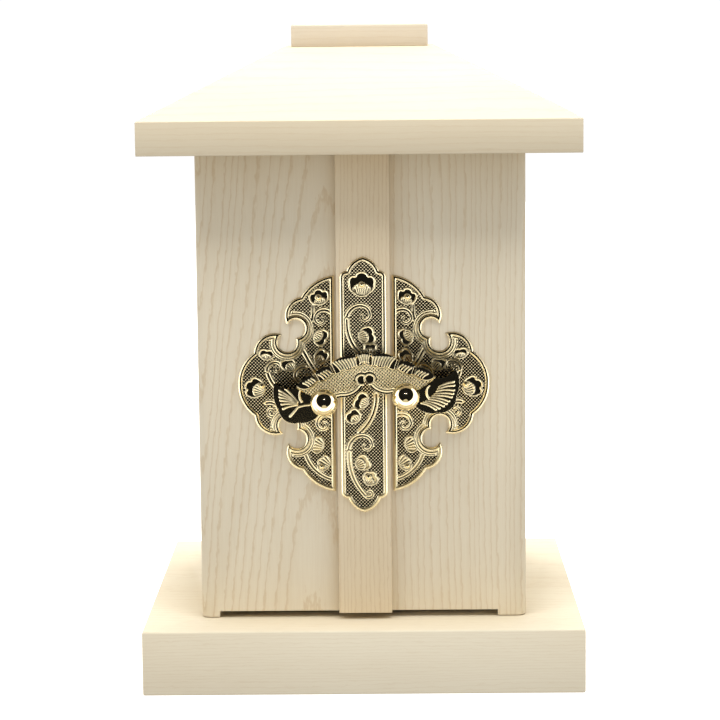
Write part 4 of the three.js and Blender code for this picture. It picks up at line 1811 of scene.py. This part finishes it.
@dataclass
class Studio:
    """A plain white sweep under soft light.

    Attributes:
        eye: The camera's place, in millimetres.
        yaw: Its turn to the right, in radians.
        pitch: Its turn downwards.
        roll: Its roll.
        lens: Its focal length.
        sensor: Its sensor's width, in millimetres.
        floor_level: The height of the floor, a hair under the plinth, in millimetres.
        floor_reach: How far the floor goes to each side.
        strip_level: The height of the strips that the gold mirrors.
        lamps: The lamps: the key softbox in front of the doors and above them, the top softbox behind the
            roof, and two sparks for the ball pins.
        opening: How far the middle of the dark side is tilted upwards.
        dark: The world's strength there.
        back: Its strength as mirrored from behind.
        sides: Its strength as mirrored from the sides.
        soft: Its strength as soft light.
        seen: Its strength to the eye.
    """

    eye: tuple[float, float, float] = (9.2, -1092.2, 274.3)
    yaw: float = -0.0096
    pitch: float = 0.1359
    roll: float = -0.0096
    lens: float = 126.7
    sensor: float = 36.0
    floor_level: float = -0.1
    floor_reach: float = 2600.0
    strip_level: float = 1.0
    lamps: tuple[Lamp, ...] = (
        Lamp("key softbox", (0.0, -0.62, 1.5), (2.4, 0.6), 18.5),
        Lamp("top softbox", (0.0, 0.45, 1.9), (0.6, 0.6), 26.0),
        Lamp("left spark", (-0.10, -1.1, 0.86), (0.02, 0.02), 0.35, spark=True),
        Lamp("right spark", (0.10, -1.1, 0.86), (0.02, 0.02), 0.35, spark=True),
    )
    opening: float = math.radians(30)
    dark: float = 0.01
    back: float = 0.7
    sides: float = 2.8
    soft: float = 0.66
    seen: float = 1.05

    def build(self) -> None:
        """Builds the camera, the floor, the strips, the lamps and the surroundings."""
        self.add_camera()
        self.add_floor()
        self.add_strips()
        self.add_lamps()
        self.add_world()
        bpy.context.scene.view_settings.view_transform = "Standard"

    def add_camera(self) -> None:
        """Stands the camera before the doors."""
        data = bpy.data.cameras.new("camera")
        data.lens = self.lens
        data.sensor_width = self.sensor
        camera = bpy.data.objects.new("camera", data)
        forward = Vector((
            math.sin(self.yaw) * math.cos(self.pitch),
            math.cos(self.yaw) * math.cos(self.pitch),
            -math.sin(self.pitch),
        ))
        level = Vector((math.cos(self.yaw), -math.sin(self.yaw), 0.0))
        up = level.cross(forward)
        right = level * math.cos(self.roll) + up * math.sin(self.roll)
        up = -level * math.sin(self.roll) + up * math.cos(self.roll)
        turn = Matrix((right, up, -forward)).transposed().to_4x4()
        camera.matrix_world = Matrix.Translation(Vector(self.eye) * MM) @ turn
        bpy.context.scene.collection.objects.link(camera)
        bpy.context.scene.camera = camera

    def add_card(self, name: str, low: tuple[float, float], high: tuple[float, float], level: float,
                 shader: bpy.types.Material, seen: bool) -> None:
        """Lays a flat card on the stage.

        Args:
            name: Its name.
            low: Its corner at the left and the front, in millimetres.
            high: Its corner at the right and the back.
            level: Its height.
            shader: Its material.
            seen: Whether the camera sees it; a card that it doesn't see is there for polished metal alone.
        """
        corners = ((low[0], low[1]), (high[0], low[1]), (high[0], high[1]), (low[0], high[1]))
        mesh = bpy.data.meshes.new(name)
        mesh.from_pydata([tuple(Vector((x, y, level)) * MM) for x, y in corners], [], [(0, 1, 2, 3)])
        mesh.materials.append(shader)
        card = bpy.data.objects.new(name, mesh)
        bpy.context.scene.collection.objects.link(card)
        card.visible_camera = seen
        card.visible_shadow = seen
        card.visible_glossy = not seen
        card.visible_diffuse = False
        card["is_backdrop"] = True

    def glowing(self, name: str, colour: str, strength: float) -> bpy.types.Material:
        """Makes a card's even glow.

        Args:
            name: The material's name.
            colour: The glow's colour.
            strength: The glow's strength.

        Returns:
            The material.
        """
        material = bpy.data.materials.new(name)
        material.use_nodes = True
        tree = material.node_tree
        tree.nodes.clear()
        glow = add_node(tree, "ShaderNodeEmission", {}, {"Color": linear(colour), "Strength": strength})
        add_node(tree, "ShaderNodeOutputMaterial", {}, {"Surface": glow.outputs[0]})
        return material

    def add_floor(self) -> None:
        """Lays the pale floor."""
        material = bpy.data.materials.new("Matt white paper sweep")
        material.use_nodes = True
        shader = material.node_tree.nodes["Principled BSDF"]
        shader.inputs["Base Color"].default_value = linear("#F6F4F0")
        shader.inputs["Roughness"].default_value = 0.9
        shader.inputs["Specular IOR Level"].default_value = 0.1
        shader.inputs["Emission Color"].default_value = linear("#FFFFFF")
        shader.inputs["Emission Strength"].default_value = 0.6
        reach = self.floor_reach
        self.add_card("floor", (-reach, -reach), (reach, reach), self.floor_level, material, seen=True)

    def add_strips(self) -> None:
        """Adds what the polished gold mirrors: pale strips on the table before the cabinet."""
        near = self.glowing("near strip", "#FFF3DC", 0.8)
        self.add_card("near_strip", (-300, -135), (300, -91), self.strip_level, near, seen=False)
        far = self.glowing("far strip", "#FFF6DE", 0.7)
        self.add_card("far_strip", (-95, -640), (95, -220), self.strip_level, far, seen=False)

    def add_lamps(self) -> None:
        """Hangs the lamps, once the ball pins that the sparks light are there."""
        balls = bpy.data.collections.new("balls")
        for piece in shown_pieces():
            if piece.name.startswith("pin_"):
                balls.objects.link(piece)
        for lamp in self.lamps:
            lamp.build(balls)

    def add_world(self) -> None:
        """Surrounds the cabinet: white to the eye, even as light, and dark in front as mirrored."""
        world = bpy.data.worlds.new("white studio")
        bpy.context.scene.world = world
        world.use_nodes = True
        tree = world.node_tree
        tree.nodes.clear()
        ray = add_node(tree, "ShaderNodeLightPath")
        sky = add_node(tree, "ShaderNodeTexCoord").outputs["Generated"]
        # The open side of the tent is a dark cone in front, tilted upwards, 60 degrees to each side of its
        # middle with a soft border. The tent's sides are bright and its back is less so.
        middle = (0.0, -math.cos(self.opening), math.sin(self.opening))
        facing = add_node(tree, "ShaderNodeVectorMath", {"operation": "DOT_PRODUCT"},
                          {0: sky, 1: middle}).outputs["Value"]
        outside = add_node(tree, "ShaderNodeMapRange", {"interpolation_type": "SMOOTHSTEP"},
                           {0: facing, 1: 0.3, 2: 0.5, 3: 1.0, 4: 0.0}).outputs[0]
        tent = add_node(tree, "ShaderNodeMapRange", {"interpolation_type": "SMOOTHSTEP"},
                        {0: facing, 1: -0.6, 2: -0.25, 3: self.back, 4: self.sides}).outputs[0]
        mirrored = add_node(tree, "ShaderNodeMath", {"operation": "MULTIPLY_ADD"},
                            {0: outside, 1: tent, 2: self.dark}).outputs[0]
        unseen = add_node(tree, "ShaderNodeMix", {"data_type": "FLOAT"},
                          {0: ray.outputs["Is Glossy Ray"], 2: self.soft, 3: mirrored}).outputs[0]
        strength = add_node(tree, "ShaderNodeMix", {"data_type": "FLOAT"},
                            {0: ray.outputs["Is Camera Ray"], 2: unseen, 3: self.seen}).outputs[0]
        glow = add_node(tree, "ShaderNodeBackground", {},
                        {"Color": linear("#FFFFFF"), "Strength": strength})
        add_node(tree, "ShaderNodeOutputWorld", {}, {"Surface": glow.outputs[0]})


def plates() -> list[Plate]:
    """Gives the lock's three plates: the side ones on the leaves, and the middle one on the batten.

    Returns:
        The plates.
    """
    leaf_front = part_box("plate_left")[1].y / MM
    batten_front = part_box("plate_centre")[1].y / MM
    outline, motifs = side_plate_outline(), side_motifs()
    nails = [Nail("top", (18.1, 35.6)), Nail("side", (41.8, -0.6)), Nail("low", (17.6, -34.3))]
    return [
        Plate("right", Body.RIGHT_DOOR, leaf_front, outline, motifs, nails, SIDE_NOTCHES),
        Plate("left", Body.LEFT_DOOR, leaf_front, mirrored_u(outline),
              [mirrored_motif(motif) for motif in motifs],
              [replace(nail, centre=(-nail.centre[0], nail.centre[1])) for nail in nails],
              [(-u, w) for u, w in SIDE_NOTCHES]),
        Plate("centre", Body.RIGHT_DOOR, batten_front, centre_plate_outline(), centre_motifs(),
              [Nail("top", (-0.4, 41.2)), Nail("low", (1.6, -38))]),
    ]


def main() -> None:
    """Builds the cabinet, its lock and the studio."""
    logging.basicConfig(level=logging.INFO, format="%(message)s")
    gold = GoldPlate()
    for board in boards():
        board.build()
    for plate in plates():
        plate.build(gold)
    clasp_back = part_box("plate_centre")[0].y / MM - CLASP_GAP
    wing_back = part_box("plate_left")[0].y / MM - CLASP_GAP
    Clasp(clasp_back, wing_back).build(gold)
    for side in Side:
        BallPin(side, clasp_back).build(gold)
    Studio().build()


if __name__ == "__main__":
    main()
